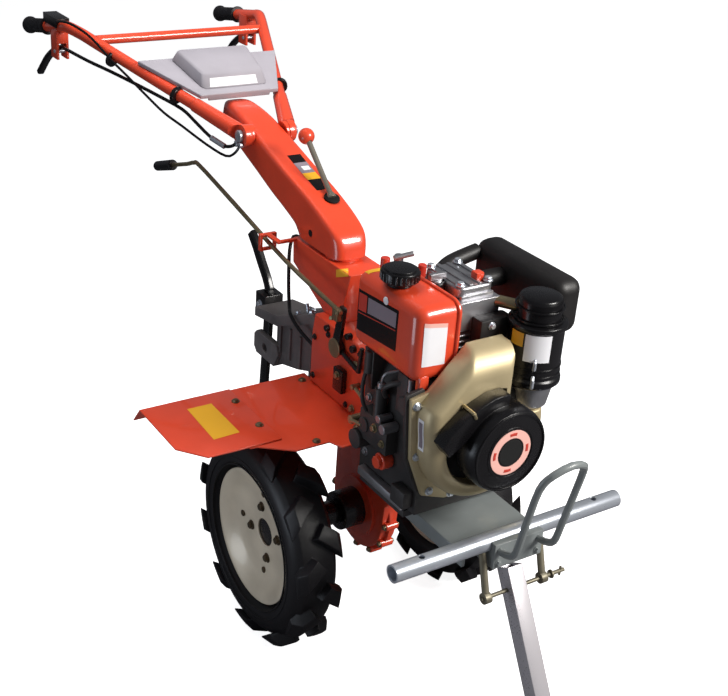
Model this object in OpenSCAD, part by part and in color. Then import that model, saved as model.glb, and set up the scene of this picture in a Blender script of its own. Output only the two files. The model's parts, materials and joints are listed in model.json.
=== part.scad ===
// Walking tractor with a single-cylinder diesel engine, parked on its front stand.
// Millimetres. +X is the machine's left, +Y its rear, +Z up; the ground is Z = 0.
// Sub-parts are laid out in a level frame centred on the wheel axle and then
// pitched nose-down onto the stand by the module parked().

/* [Stance] */
// Nose-down pitch of the machine when it rests on the stand, degrees
park_pitch = 7; // [3:0.5:9]
// Running clearance between a shaft and its bore, on the radius
run_fit = 0.05; // [0.02:0.01:0.1]
// Gap between faces that slide past each other
face_gap = 0.3; // [0.2:0.05:0.6]

/* [Wheels] */
// Wheel radius over the lug tips
wheel_r = 235; // [225:1:245]
// Height of the tread lugs
lug_h = 20; // [12:1:24]
// Number of lugs on each side of the tread
lug_count = 11; // [9:1:13]
// Width of one lug at its foot
lug_w = 40; // [32:1:44]
// Width of one lug at its tip
lug_tip = 28; // [20:1:32]
// Sweep of a lug back from the tread centre, degrees
lug_sweep = 40; // [25:1:45]
// Distance between the two wheel centre planes
track = 452; // [440:1:470]
// Width of the tyre
tyre_w = 104; // [96:1:112]
// Radius of the rim flange
rim_r = 147; // [140:1:152]
// Radius of the rim barrel that carries the tyre
barrel_r = 127; // [120:1:132]
// Thickness of the pressed rim steel
rim_t = 4; // [3:0.5:5]
// Radius of the axle shaft
axle_r = 17.5; // [15:0.5:20]
// Radius of the wheel hub flange
hub_r = 72; // [68:1:76]
// Bolt circle radius of the inner wheel bolts
wheel_bolt_r = 57.5; // [52:0.5:60]

/* [Transmission] */
// Radius of the final-drive drum around the axle
drum_r = 96; // [90:1:104]
// Right face of the final-drive case
case_right = -2; // [-8:1:2]
// Left face of the final-drive case
case_left = 36; // [32:1:44]
// Half width of the gearbox
gearbox_hw = 65; // [60:1:70]
// Height of the gearbox floor above the axle
gearbox_z0 = 263; // [255:1:270]
// Height of the gearbox roof above the axle
gearbox_z1 = 424; // [415:1:440]
// Rear face of the gearbox
gearbox_rear = 125; // [118:1:132]
// Plane where engine and gearbox meet
engine_rear = -152; // [-160:1:-146]
// Half width of the handle column
column_hw = 44; // [40:1:48]
// Height of the swivel plane on top of the column
swivel_z = 540; // [532:1:550]
// Distance of the swivel axis behind the axle
swivel_y = 125; // [118:1:132]
// Radius of the swivel pin
swivel_pin_r = 14; // [12:0.5:18]

/* [Engine] */
// Height of the base plate's top above the axle
plate_z = 200; // [195:1:205]
// Thickness of the base plate
plate_t = 8; // [6:0.5:10]
// Half width of the base plate
plate_hw = 90; // [80:1:100]
// Front edge of the base plate
plate_front = -468; // [-474:1:-455]
// Height of the crankshaft above the axle
crank_z = 384; // [376:1:392]
// Front face of the crankcase, behind the cowl
cowl_rear = -342; // [-350:1:-335]
// Front face of the cowl
cowl_front = -400; // [-408:1:-392]
// Radius of the round part of the cowl
cowl_r = 131; // [124:1:136]
// Radius of the fan opening in the cowl
fan_r = 98; // [92:1:102]
// Height of the crankcase roof above the axle
crankcase_z = 480; // [470:1:490]
// Height of the cylinder head's joint above the axle
head_z = 555; // [548:1:562]
// Radius of the starter's front disc
starter_r = 79; // [72:1:86]
// Front face of the starter
starter_front = -457; // [-464:1:-450]
// Number of cooling fins on the cylinder
fin_count = 6; // [4:1:8]

/* [Fuel, air and exhaust] */
// Width of the fuel tank
tank_w = 103; // [96:1:110]
// Length of the fuel tank
tank_l = 207; // [190:1:215]
// Height of the fuel tank
tank_h = 146; // [136:1:154]
// Corner radius of the fuel tank
tank_round = 22; // [14:1:30]
// Radius of the air cleaner's bowl
bowl_r = 55; // [50:0.5:58]
// Radius of the air cleaner's cap
cap_r = 41; // [40:0.5:48]
// Height of the air cleaner's bowl and cap
bowl_h = 174; // [164:1:184]
// Length of the muffler
muffler_l = 258; // [240:1:270]
// Height of the muffler
muffler_h = 112; // [100:1:120]
// Thickness of the muffler
muffler_w = 66; // [58:1:70]

/* [Bumper and stand] */
// Outer radius of the bumper tube
bumper_r = 16.8; // [15:0.1:18]
// Wall of the bumper tube
bumper_wall = 3.5; // [2.5:0.5:5]
// Half length of the bumper tube
bumper_hl = 259; // [250:1:268]
// Radius of the pin holes near the bumper's ends
bumper_hole_r = 6; // [5:0.5:7]
// Radius of the guard loop's bar
loop_r = 7; // [6:0.5:8]
// Lean of the stand leg from the machine's own vertical, degrees
stand_lean = 30; // [26:0.5:32]
// Width of the stand's square tube
leg_w = 34; // [30:1:36]
// Wall of the stand's square tube
leg_wall = 3; // [2:0.5:4]
// Radius of the stand's pivot pin
stand_pin_r = 4; // [3.5:0.5:6]
// Radius of the hanger rods
hanger_r = 7; // [6:0.5:8]
// Thickness of the stand's foot pad
pad_t = 6; // [5:0.5:8]

/* [Fenders] */
// Thickness of the fender sheet
sheet_t = 3; // [2:0.5:4]
// Outer edge of the fender
fender_out = 442; // [435:1:450]
// Rear edge of the fender's flat
fender_rear = 158; // [150:1:166]

/* [Handlebar] */
// Radius of the handle tubes
tube_r = 14; // [12.5:0.5:16]
// Radius of the handle pivot bolt
pivot_r = 8; // [7:0.5:10]
// Distance of the handle pivot behind the axle
pivot_y = 463; // [458:1:470]
// Height of the handle pivot above the axle
pivot_z = 703; // [698:1:708]
// Half spread of the handles at the cross tube
spread = 227; // [215:1:240]
// Radius of the grips
grip_r = 17; // [15.5:0.5:19]
// Length of the grips
grip_l = 118; // [105:1:130]

/* [Hidden] */
$fn = 48;

// Direction across the machine
X = [1, 0, 0];

// Reach of the parked machine: the pad sets the front, the grips set the rear
c_p = cos(park_pitch);
s_p = sin(park_pitch);
function parked_y(y, z) = y * c_p - z * s_p;
function parked_z(y, z) = y * s_p + z * c_p + wheel_r;

// Stand
pin_y = -518;
pin_z = 128;
pin_world_z = parked_z(pin_y, pin_z);
leg_lean = stand_lean - park_pitch;
foot_y = parked_y(pin_y, pin_z) - pin_world_z * tan(leg_lean);
pad_l = 84;
pad_w = 70;

// Handle line from the pivot to the cross tube and on to the grip
pivot_x = 55;
cross_y = 904;
cross_z = 822;
grip_end = [266, 1220, 793];
grip_dir = unit([0.045, 0.975, -0.18]);
grip_start = grip_end - grip_dir * grip_l;
grip_flange = 4;
grip_reach = parked_y(grip_end[1], grip_end[2])
    + (grip_r + grip_flange) * sqrt(1 - pow(grip_dir[1] * c_p - grip_dir[2] * s_p, 2));
axle_y = -(grip_reach + foot_y - pad_l / 2) / 2;

// Vector helpers
function unit(v) = v / norm(v);
function blend(a, b, t) = a + (b - a) * t;
// Signed power, used for squared-off ovals
function spow(v, e) = sign(v) * pow(abs(v), e);
// A smooth curve through control points, with steps points on each span
function spline(p, steps) = [
    for (i = [0:len(p) - 2]) for (k = [0:steps - 1])
        let (a = p[max(i - 1, 0)], b = p[i], c = p[i + 1], d = p[min(i + 2, len(p) - 1)], t = k / steps)
            0.5 * (2 * b + (c - a) * t + (2 * a - 5 * b + 4 * c - d) * t * t
                + (3 * b - a - 3 * c + d) * t * t * t),
    p[len(p) - 1]
];
function heading(p, i) = unit(p[min(i + 1, len(p) - 1)] - p[max(i - 1, 0)]);

// Skin of rings with as many points each, closed by flat ends
module skin(rings) {
    n = len(rings[0]);
    m = len(rings);
    points = [for (ring = rings) for (q = ring) q];
    sides = [for (i = [0:m - 2]) for (k = [0:n - 1])
        [i * n + k, i * n + (k + 1) % n, (i + 1) * n + (k + 1) % n, (i + 1) * n + k]];
    first = [[for (k = [n - 1:-1:0]) k]];
    last = [[for (k = [0:n - 1]) (m - 1) * n + k]];
    polyhedron(points, concat(first, sides, last), convexity = 6);
}

// Bar of a given half width and half height swept along a path; side points across the path
module swept_bar(path, half_w, half_h, side = X, n = 12, squareness = 1) {
    skin([for (i = [0:len(path) - 1])
        let (t = heading(path, i), v = unit(cross(t, side)), u = cross(v, t))
            [for (k = [0:n - 1]) let (a = 360 * (k + 0.5) / n)
                path[i] + u * half_w * spow(cos(a), squareness) - v * half_h * spow(sin(a), squareness)]]);
}

module swept_tube(path, r, side = X, n = 12) {
    swept_bar(path, r, r, side, n);
}

// Places a piece from the level axle frame onto the ground
module parked() {
    translate([0, axle_y, wheel_r]) rotate([park_pitch, 0, 0]) children();
}

// Extrudes a (y, z) outline across the machine between two x positions
module across(x0, x1) {
    translate([x0, 0, 0]) rotate([90, 0, 90]) linear_extrude(height = x1 - x0) children();
}

// Extrudes an (x, z) outline forward from y0 to y1, with y1 the smaller
module forward(y0, y1) {
    translate([0, y0, 0]) rotate([90, 0, 0]) linear_extrude(height = y0 - y1) children();
}

// Cylinder along X between two x positions at (y, z)
module cross_rod(x0, x1, y, z, r) {
    translate([x0, y, z]) rotate([0, 90, 0]) cylinder(h = x1 - x0, r = r);
}

// Cylinder of radius r0 to r1 between two points
module rod(a, b, r0, r1) {
    d = b - a;
    translate(a) rotate([0, acos(d[2] / norm(d)), atan2(d[1], d[0])])
        cylinder(h = norm(d), r1 = r0, r2 = r1);
}

// Rectangle with rounded corners, as an exact outline
module round_rect(w, h, r) {
    union() {
        square([w - 2 * r, h], center = true);
        square([w, h - 2 * r], center = true);
        for (i = [-1, 1]) for (k = [-1, 1]) translate([i * (w / 2 - r), k * (h / 2 - r)]) circle(r);
    }
}

// Outline of a rounded rectangle at y, drawn in as far as inset on every side
function pillow_ring(w, h, r, inset, y) = [
    for (q = [0:3]) for (k = [0:4])
        let (a = 90 * q + 22.5 * k, c = max(r - inset, 0.4),
            sx = q == 0 || q == 3 ? 1 : -1, sz = q < 2 ? 1 : -1)
            [sx * (w / 2 - inset - c) + c * cos(a), y, sz * (h / 2 - inset - c) + c * sin(a)]];

// Block with all its edges rounded, skinned from front to rear
module pillow(size, r) {
    l = size[1];
    turn = [for (j = [0:4]) 22.5 * j];
    skin(concat(
        [for (a = turn) pillow_ring(size[0], size[2], r, r * (1 - sin(a)), -l / 2 + r * (1 - cos(a)))],
        [for (j = [4:-1:0]) let (a = turn[j])
            pillow_ring(size[0], size[2], r, r * (1 - sin(a)), l / 2 - r * (1 - cos(a)))]
    ));
}

// Mirrors a right-hand piece to the left when side is 1; side -1 is the right
module handed(side) {
    if (side > 0) mirror([1, 0, 0]) children();
    else children();
}

/* Wheels */
rim_hw = 38;
bead_hw = 24;
disc_z = 7;
disc_foot = 84;
hub_hole = 30;
wheel_bolt = 6;
wheel_bolt_turn = 8;
carcass_r = wheel_r - lug_h;
// How far each half axle reaches into the final-drive case, short of the other half
axle_bite = (case_left - case_right) / 2 - 3;

// Outline of the tyre carcass, (radius, x from the centre plane)
module carcass_outline() {
    hw = tyre_w / 2;
    polygon([
        [barrel_r, -bead_hw], [rim_r + 1, -bead_hw], [barrel_r + 34, -hw + 4], [barrel_r + 52, -hw],
        [carcass_r - 18, -hw + 5], [carcass_r - 4, -hw + 18], [carcass_r, -12], [carcass_r, 12],
        [carcass_r - 4, hw - 18], [carcass_r - 18, hw - 5], [barrel_r + 52, hw], [barrel_r + 34, hw - 4],
        [rim_r + 1, bead_hw], [barrel_r, bead_hw]
    ]);
}

// Envelope that trims the lugs to the round of the tread
module lug_envelope() {
    hw = tyre_w / 2;
    rotate_extrude() polygon([
        [carcass_r - 24, -hw], [carcass_r + 2, -hw], [wheel_r, -hw + 14], [wheel_r, hw - 14],
        [carcass_r + 2, hw], [carcass_r - 24, hw]
    ]);
}

// Slanted bars with drafted sides standing out from the tread, in two staggered rows
module lug_bars() {
    reach = tyre_w / 2 / cos(lug_sweep) + 10;
    for (row = [-1, 1]) for (i = [0:lug_count - 1])
        rotate([0, 0, 360 / lug_count * (i + (row > 0 ? 0.5 : 0))])
            translate([carcass_r - 10, 0, row * 4]) rotate([row * lug_sweep, 0, 0])
                translate([0, 0, row > 0 ? 0 : -reach]) linear_extrude(height = reach) polygon([
                    [0, -lug_w / 2], [lug_h + 20, -lug_tip / 2], [lug_h + 20, lug_tip / 2], [0, lug_w / 2]
                ]);
}

// Wheel pieces are turned about Z here and laid onto the axle by on_axle()
module tyre_form() {
    union() {
        rotate_extrude() carcass_outline();
        intersection() {
            lug_envelope();
            lug_bars();
        }
    }
}

module wheel_bolt_holes(z, depth) {
    for (i = [0:3]) rotate([0, 0, 90 * i + wheel_bolt_turn]) translate([wheel_bolt_r, 0, z])
        cylinder(h = depth, r = wheel_bolt);
}

// Barrel with a bead at each edge; the disc rises to the outer bead as a bowl
module rim_form() {
    seat = bead_hw + face_gap;
    inner = barrel_r - rim_t;
    difference() {
        rotate_extrude() polygon([
            [barrel_r, -seat], [rim_r, -seat], [rim_r, -rim_hw], [rim_r - 4, -rim_hw], [inner, -seat - 4],
            [inner, disc_z + 7], [disc_foot, disc_z - rim_t], [hub_hole, disc_z - rim_t], [hub_hole, disc_z],
            [disc_foot, disc_z], [(disc_foot + barrel_r) / 2 - 1, disc_z + 5], [barrel_r - 11, disc_z + 12],
            [barrel_r, seat + 4],
            [rim_r - 8, rim_hw - 2], [rim_r - 4, rim_hw], [rim_r, rim_hw], [rim_r, seat], [barrel_r, seat]
        ]);
        wheel_bolt_holes(disc_z - rim_t - 1, rim_t + 2);
    }
}

// Half axle whose inner end and sleeve lie at distances from the machine's centre plane
module axle_form(inner, sleeve) {
    back = disc_z - rim_t;
    flange_t = 10;
    difference() {
        union() {
            translate([0, 0, back - flange_t]) cylinder(h = flange_t, r = hub_r);
            translate([0, 0, sleeve - track / 2])
                cylinder(h = back - flange_t - sleeve + track / 2, r = axle_r + sleeve_wall);
            translate([0, 0, inner - track / 2]) cylinder(h = back - inner + track / 2, r = axle_r);
        }
        wheel_bolt_holes(back - flange_t - 1, flange_t + 2);
    }
}

// Lays a wheel piece, turned about its own Z with +Z outward, onto one end of the axle
module on_axle(side) {
    translate([side * track / 2, axle_y, wheel_r]) rotate([0, side * 90, 0]) children();
}

module tyre_right() { color([0.07, 0.07, 0.07]) on_axle(-1) tyre_form(); }
module tyre_left() { color([0.07, 0.07, 0.07]) on_axle(1) tyre_form(); }
module rim_right() { color([0.66, 0.62, 0.52]) on_axle(-1) rim_form(); }
module rim_left() { color([0.66, 0.62, 0.52]) on_axle(1) rim_form(); }
module axle_right() { color([0.12, 0.12, 0.12]) on_axle(-1)
    axle_form(-case_right - axle_bite, housing_l - case_right + sleeve_gap);
}
module axle_left() { color([0.12, 0.12, 0.12]) on_axle(1)
    axle_form(case_left - axle_bite, case_left + housing_l + sleeve_gap);
}

/* Transmission */
orange = [0.88, 0.34, 0.18];
black = [0.09, 0.09, 0.09];

case_wall = 9;
housing_l = 56;
sleeve_wall = 9;
sleeve_gap = 6;
housing_r = 43;

module gearcase() {
    color(orange) parked() difference() {
        union() {
            cross_rod(case_right, case_left, 0, 0, drum_r);
            cross_rod((case_right + case_left) / 2 - 5, (case_right + case_left) / 2 + 5, 0, 0, drum_r + 9);
            across(case_right, case_left) polygon([
                [-drum_r, 0], [-drum_r - 4, 50], [-140, 96], [engine_rear, 124], [engine_rear, gearbox_z0],
                [drum_r, gearbox_z0], [drum_r, 0]
            ]);
        }
        cross_rod(case_right - 1, case_left + 1, 0, 0, axle_r + run_fit);
        across(case_right + case_wall, case_left - case_wall) polygon([
            [engine_rear + 12, 140], [engine_rear + 12, gearbox_z0 + 1], [drum_r - 12, gearbox_z0 + 1],
            [drum_r - 14, 130]
        ]);
    }
}

module axle_housings() {
    color(black) parked() for (x = [case_right - housing_l, case_left]) difference() {
        cross_rod(x, x + housing_l, 0, 0, housing_r);
        cross_rod(x - 1, x + housing_l + 1, 0, 0, axle_r + run_fit);
    }
}

module gearbox() {
    color(orange) parked() difference() {
        across(-gearbox_hw, gearbox_hw) polygon([
            [engine_rear, gearbox_z0], [engine_rear, 395], [-110, gearbox_z1], [gearbox_rear - 8, gearbox_z1],
            [gearbox_rear, 381], [gearbox_rear, gearbox_z0]
        ]);
        across(-gearbox_hw + 9, gearbox_hw - 9) polygon([
            [engine_rear + 12, gearbox_z0 - 1], [engine_rear + 12, 388], [-108, gearbox_z1 - 12],
            [gearbox_rear - 20, gearbox_z1 - 12], [gearbox_rear - 12, 378],
            [gearbox_rear - 12, gearbox_z0 - 1]
        ]);
    }
}

module column() {
    color(orange) parked() union() {
        difference() {
            across(-column_hw, column_hw) polygon([
                [25, swivel_z], [41, 483], [52, 450], [50, gearbox_z1], [gearbox_rear - 8, gearbox_z1],
                [251, 485], [255, swivel_z]
            ]);
            across(-column_hw + 8, column_hw - 8) polygon([
                [45, swivel_z - 14], [52, 487], [62, 452], [62, gearbox_z1 - 1],
                [gearbox_rear - 20, gearbox_z1 - 1], [236, 488], [240, swivel_z - 14]
            ]);
        }
        translate([0, swivel_y, swivel_z - 1]) cylinder(h = 14, r = swivel_pin_r);
    }
}

guide_y = 292;
shift_x = -85;
shift_r = 5;
shift_path = [[-11, 483], [215, 509], [450, 556], [620, 588], [652, 586], [690, 571]];
shift_end = [766, 545];
guide_z = 523;

// Square eye of flat strip around the shift rod, on an arm from the column
module lever_guide() {
    eye_w = 40;
    eye_h = 38;
    strip = 6;
    depth = 10;
    color(orange) parked() union() {
        translate([shift_x - eye_w / 2, guide_y - depth / 2, guide_z - eye_h / 2]) difference() {
            cube([eye_w, depth, eye_h]);
            translate([strip, -1, strip]) cube([eye_w - 2 * strip, depth + 2, eye_h - 2 * strip]);
        }
        translate([shift_x - strip, 238, guide_z + eye_h / 2 - strip])
            cube([2 * strip, guide_y - 238 - depth / 2, strip]);
        translate([shift_x - strip, 238, guide_z + eye_h / 2 - strip])
            cube([-column_hw - shift_x + strip, 10, strip]);
    }
}

/* Fenders */
fender_in = 58;
sheet_out = fender_out - 132;
ext_in = fender_out - 202;
flap_l = 30;
flap_h = 38;

module fender_outline() {
    polygon([
        [-fender_in, fender_rear], [-sheet_out, fender_rear], [-sheet_out, -66], [-sheet_out + 15, -68],
        [-sheet_out + 76, -114], [-160, -114], [-148, -143], [-70, -143], [-fender_in, -110]
    ]);
}

// Sheet that turns down behind the wheel between two x positions, with its top face at z
module fender_flap(x0, x1, z) {
    across(x0, x1) polygon([
        [fender_rear, z], [fender_rear, z - sheet_t], [fender_rear + flap_l, z - sheet_t - flap_h],
        [fender_rear + flap_l + sheet_t, z - sheet_t - flap_h + 1]
    ]);
}

module fender_form() {
    union() {
        translate([0, 0, gearbox_z0 - sheet_t]) linear_extrude(height = sheet_t) fender_outline();
        fender_flap(-sheet_out, -fender_in, gearbox_z0);
    }
}

module extension_form() {
    union() {
        translate([0, 0, gearbox_z0]) linear_extrude(height = sheet_t) polygon([
            [-ext_in, fender_rear], [-fender_out, fender_rear], [-fender_out, -10], [-fender_out + 43, -64],
            [-fender_out + 152, -66], [-ext_in, -66]
        ]);
        fender_flap(-fender_out, -sheet_out - 2, gearbox_z0 + sheet_t);
    }
}

module fenders() { color(orange) parked() for (side = [-1, 1]) handed(side) fender_form(); }
module fender_extensions() { color(orange) parked() for (side = [-1, 1]) handed(side) extension_form(); }

/* Engine */
module base_plate() {
    color([0.45, 0.47, 0.47]) parked() union() {
        translate([-plate_hw, plate_front, plate_z - plate_t])
            cube([2 * plate_hw, engine_rear - plate_front, plate_t]);
        for (x = [-plate_hw, plate_hw - plate_t])
            translate([x, plate_front, plate_z - 30]) cube([plate_t, engine_rear - plate_front - 20, 30]);
    }
}

module crankcase() {
    color([0.2, 0.2, 0.21]) parked() union() {
        forward(engine_rear, cowl_rear) polygon([
            [-112, plate_z + 14], [-112, 420], [-84, crankcase_z], [cyl_x1 - 12, crankcase_z],
            [cyl_x1 - 12, shoulder_z], [108, shoulder_z], [108, plate_z + 14]
        ]);
        forward(cowl_rear + 8, cowl_rear) polygon([
            [-155, 477], [-145, 344], [-109, 257], [-54, 236], [54, 236], [109, 257], [125, 346],
            [125, shoulder_z], [-90, shoulder_z], [-118, 484]
        ]);
        translate([-122, cowl_rear + 20, plate_z]) cube([240, engine_rear - cowl_rear - 40, 14]);
        for (y = [tank_y - 70, tank_y + 40])
            translate([tank_x - 40, y, crankcase_z - 70]) cube([56, 30, tank_z - crankcase_z + 70]);
    }
}

cyl_x0 = -22;
cyl_x1 = 68;
cyl_y0 = -300;
cyl_y1 = -160;

module cylinder_head() {
    pitch = (head_z - crankcase_z) / (fin_count + 0.5);
    color([0.55, 0.55, 0.55]) parked() union() {
        translate([cyl_x0, cyl_y0, head_z]) cube([cyl_x1 - cyl_x0, cyl_y1 - cyl_y0, rocker_z - head_z]);
        translate([cyl_x0 + 12, cyl_y0 + 12, crankcase_z])
            cube([cyl_x1 - cyl_x0 - 24, cyl_y1 - cyl_y0 - 24, head_z - crankcase_z]);
        for (i = [0:fin_count - 1]) translate([cyl_x0, cyl_y0, crankcase_z + pitch * (i + 0.5)])
            cube([cyl_x1 - cyl_x0, cyl_y1 - cyl_y0, pitch * 0.4]);
    }
}

rocker_z = 612;
rocker_top = 634;

module rocker_cover() {
    color([0.6, 0.6, 0.6]) parked() translate([(cyl_x0 + cyl_x1) / 2, (cyl_y0 + cyl_y1) / 2, rocker_z])
        linear_extrude(height = rocker_top - rocker_z)
            round_rect(cyl_x1 - cyl_x0 - 8, cyl_y1 - cyl_y0 - 30, 16);
}

cleaner_x = 110;
cleaner_y = -362;
cleaner_z = 462;
shoulder_z = 417;

duct_x = 46;
duct_left = -58;
duct_top = 537;
duct_rise = 24;
flange_t = 10;
fan_depth = 30;
cowl_round = 24;

// A flange plate against the crankcase, a round housing with the fan opening and the duct above it
module fan_cowl() {
    deep = cowl_rear - cowl_front;
    color([0.69, 0.63, 0.47]) parked() difference() {
        union() {
            forward(cowl_rear, cowl_rear - flange_t) polygon([
                [-150, 472], [-140, 346], [-106, 261], [-53, 241], [53, 241], [106, 261], [122, 346],
                [122, shoulder_z], [duct_x, shoulder_z], [duct_x, duct_top], [duct_left, duct_top], [-113, 480]
            ]);
            translate([0, cowl_rear, crank_z]) rotate([90, 0, 0]) rotate_extrude() polygon([
                [0, 2], [cowl_r, 2], [cowl_r, deep - cowl_round], [cowl_r - 2, deep - 14],
                [cowl_r - 7, deep - 6], [cowl_r - 12, deep - 2], [cowl_r - 18, deep], [0, deep]
            ]);
            forward(cowl_rear - 2, cowl_front + 14) polygon([
                [-118, crank_z], [-134, 440], [-131, 461], [-98, 499], [duct_left, duct_top],
                [duct_x, duct_top], [duct_x, crank_z]
            ]);
            forward(cowl_front + 20, cowl_front + 4) polygon([
                [-110, crank_z], [-126, 440], [-122, 459], [-91, 493], [duct_left + 7, duct_top - 8],
                [duct_x, duct_top - 8], [duct_x, crank_z]
            ]);
            forward(cowl_rear - 2, cowl_rear - 22) polygon([
                [duct_left, duct_top - 20], [duct_left + 8, duct_top + duct_rise],
                [duct_x - 8, duct_top + duct_rise - 10], [duct_x, duct_top - 20]
            ]);
        }
        translate([duct_x, cowl_front - 20, shoulder_z]) cube([200, 100, 200]);
        translate([0, cowl_front + fan_depth, crank_z]) rotate([90, 0, 0])
            cylinder(h = fan_depth + 10, r = fan_r);
    }
}

// Drum standing in the fan opening, with a guard over its upper right
module recoil_starter() {
    reach = cowl_front + fan_depth - starter_front;
    color(black) parked() union() {
        translate([0, cowl_front + fan_depth, crank_z]) rotate([90, 0, 0]) rotate_extrude() polygon([
            [0, 0], [62, 0], [62, 26], [starter_r + 4, 34], [starter_r + 4, reach - 14], [starter_r, reach],
            [0, reach]
        ]);
        forward(cowl_front, cowl_front - 32) polygon([
            [-150, 425], [-132, 448], [-108, 468], [-77, 486], [-43, 499], [-11, 500], [-11, 478], [-45, 474],
            [-74, 452], [-100, 424], [-134, 402]
        ]);
    }
}

tank_x = -85.5;
tank_y = -232;
tank_z = 488;

module fuel_tank() {
    color(orange) parked() translate([tank_x, tank_y, tank_z + tank_h / 2])
        pillow([tank_w, tank_l, tank_h], tank_round);
}

module fuel_cap() {
    color(black) parked() translate([-104, -222, tank_z + tank_h]) union() {
        cylinder(h = 10, r = 24);
        translate([0, 0, 10]) cylinder(h = 20, r = 35);
    }
}

module air_cleaner_base() {
    color([0.72, 0.72, 0.72]) parked() translate([cleaner_x, cleaner_y, shoulder_z])
        cylinder(h = cleaner_z - shoulder_z, r1 = 36, r2 = 44);
}

module air_cleaner() {
    rim = 124;
    color(black) parked() translate([cleaner_x, cleaner_y, cleaner_z]) rotate_extrude() polygon([
        [0, 0], [bowl_r - 6, 0], [bowl_r, 6], [bowl_r, 16], [bowl_r - 4, 20], [bowl_r - 4, rim - 12],
        [bowl_r, rim - 8], [bowl_r, rim], [cap_r, rim + 2], [cap_r, bowl_h - 12], [cap_r - 3, bowl_h - 4],
        [cap_r - 12, bowl_h], [0, bowl_h]
    ]);
}

elbow_r = 11;

module intake_elbow() {
    z = rocker_z - elbow_r;
    color([0.6, 0.6, 0.6]) parked() difference() {
        rod([cleaner_x, cleaner_y, z], [cyl_x1 - 20, cyl_y0 + 30, z], elbow_r, elbow_r);
        translate([cleaner_x, cleaner_y, cleaner_z]) cylinder(h = bowl_h, r = cap_r + face_gap);
        translate([cyl_x0, cyl_y0, head_z]) cube([cyl_x1 - cyl_x0, cyl_y1 - cyl_y0, rocker_z - head_z]);
    }
}

muffler_x = 200;
muffler_y = -216;
muffler_z = 578;
exhaust_r = 18;

module muffler() {
    color(black) parked() translate([muffler_x, muffler_y, muffler_z])
        pillow([muffler_w, muffler_l, muffler_h], 24);
}

module exhaust_pipe() {
    color([0.16, 0.15, 0.15]) parked()
        cross_rod(cyl_x1, muffler_x - muffler_w / 2, cyl_y1 - 20, muffler_z + 8, exhaust_r);
}

module injection_pump() {
    color([0.3, 0.3, 0.31]) parked() union() {
        translate([-138, -270, 310]) cube([26, 90, 60]);
        translate([-126, -225, 370]) cylinder(h = 60, r = 12);
    }
}

module oil_cap() {
    color(orange) parked() cross_rod(-136, -112, -250, 287, 17);
}

/* Bumper and stand */
bumper_y = -486;
bumper_z = 227;

module bumper_tube() {
    color([0.75, 0.78, 0.83]) parked() difference() {
        cross_rod(-bumper_hl, bumper_hl, bumper_y, bumper_z, bumper_r);
        cross_rod(-bumper_hl - 1, bumper_hl + 1, bumper_y, bumper_z, bumper_r - bumper_wall);
        for (x = [-1, 1]) translate([x * (bumper_hl - 60), bumper_y, bumper_z - 30])
            cylinder(h = 60, r = bumper_hole_r);
    }
}

bracket_front = -514;

module bumper_bracket() {
    color([0.42, 0.44, 0.44]) parked() difference() {
        across(-56, 56) polygon([
            [bracket_front, 184], [bracket_front, 236], [-480, 236], [-480, 205], [plate_front, 205],
            [plate_front, plate_z - plate_t], [-420, plate_z - plate_t], [-420, 184]
        ]);
        cross_rod(-100, 100, bumper_y, bumper_z, bumper_r);
    }
}

loop_half = concat(
    [[-45, bracket_front, 222], [-45, bracket_front - 6, 222]],
    spline([[-45, -530, 224], [-45, -553, 239], [-46, -566, 290], [-47, -590, 396], [-34, -605, 430]], 4),
    [[-18, -610, 440], [0, -611, 443]]
);
loop_path = concat(loop_half, [for (i = [len(loop_half) - 2:-1:0])
    [-loop_half[i][0], loop_half[i][1], loop_half[i][2]]]);

// The bend plane of the loop faces forward, so rings keep a side vector along the loop's own plane normal
module guard_loop() {
    color([0.42, 0.45, 0.45]) parked() swept_tube(loop_path, loop_r, unit([0, -0.5, -0.86]), 10);
}

hanger_x = 66;

module stand_hangers() {
    color([0.55, 0.5, 0.38]) parked() difference() {
        union() {
            for (x = [-hanger_x, hanger_x]) {
                rod([x, bumper_y - 1, bumper_z], [x, pin_y, pin_z], hanger_r, hanger_r);
                cross_rod(x - hanger_r, x + hanger_r, pin_y, pin_z, 11);
            }
            cross_rod(-hanger_x - hanger_r - 4, 119, pin_y, pin_z, stand_pin_r);
        }
        cross_rod(-bumper_hl, bumper_hl, bumper_y, bumper_z, bumper_r);
    }
}

// The leg is drawn upright at the pin and leaned forward; the pad cuts it level with the ground
module stand_leg() {
    top = 42;
    reach = pin_world_z / cos(leg_lean) + 40;
    color([0.88, 0.86, 0.87]) difference() {
        translate([0, parked_y(pin_y, pin_z) + axle_y, pin_world_z]) rotate([-leg_lean, 0, 0]) difference() {
            translate([0, 0, (top - reach) / 2]) difference() {
                cube([leg_w, leg_w, top + reach], center = true);
                cube([leg_w - 2 * leg_wall, leg_w - 2 * leg_wall, top + reach + 2], center = true);
            }
            cross_rod(-leg_w, leg_w, 0, 0, stand_pin_r + run_fit);
        }
        translate([-100, -3000, -200]) cube([200, 6000, 200 + pad_t]);
    }
}

module stand_foot() {
    color([0.8, 0.78, 0.78]) translate([0, foot_y + axle_y, 0]) linear_extrude(height = pad_t)
        round_rect(pad_w, pad_l, 12);
}

/* Rear hitch */
hitch_hw = 50;
hitch_body_hw = 38;
hitch_slot_hw = 36;
hitch_body_rear = 318;
hitch_rear = 402;
hitch_pin_y = 352;
hitch_pin_z = 232;
hitch_pin_r = 11;
bar_y = 424;
bar_w = 8;
bar_t = 15;
bar_fit = 0.2;
clamp_z0 = 284;
clamp_z1 = 334;

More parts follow.
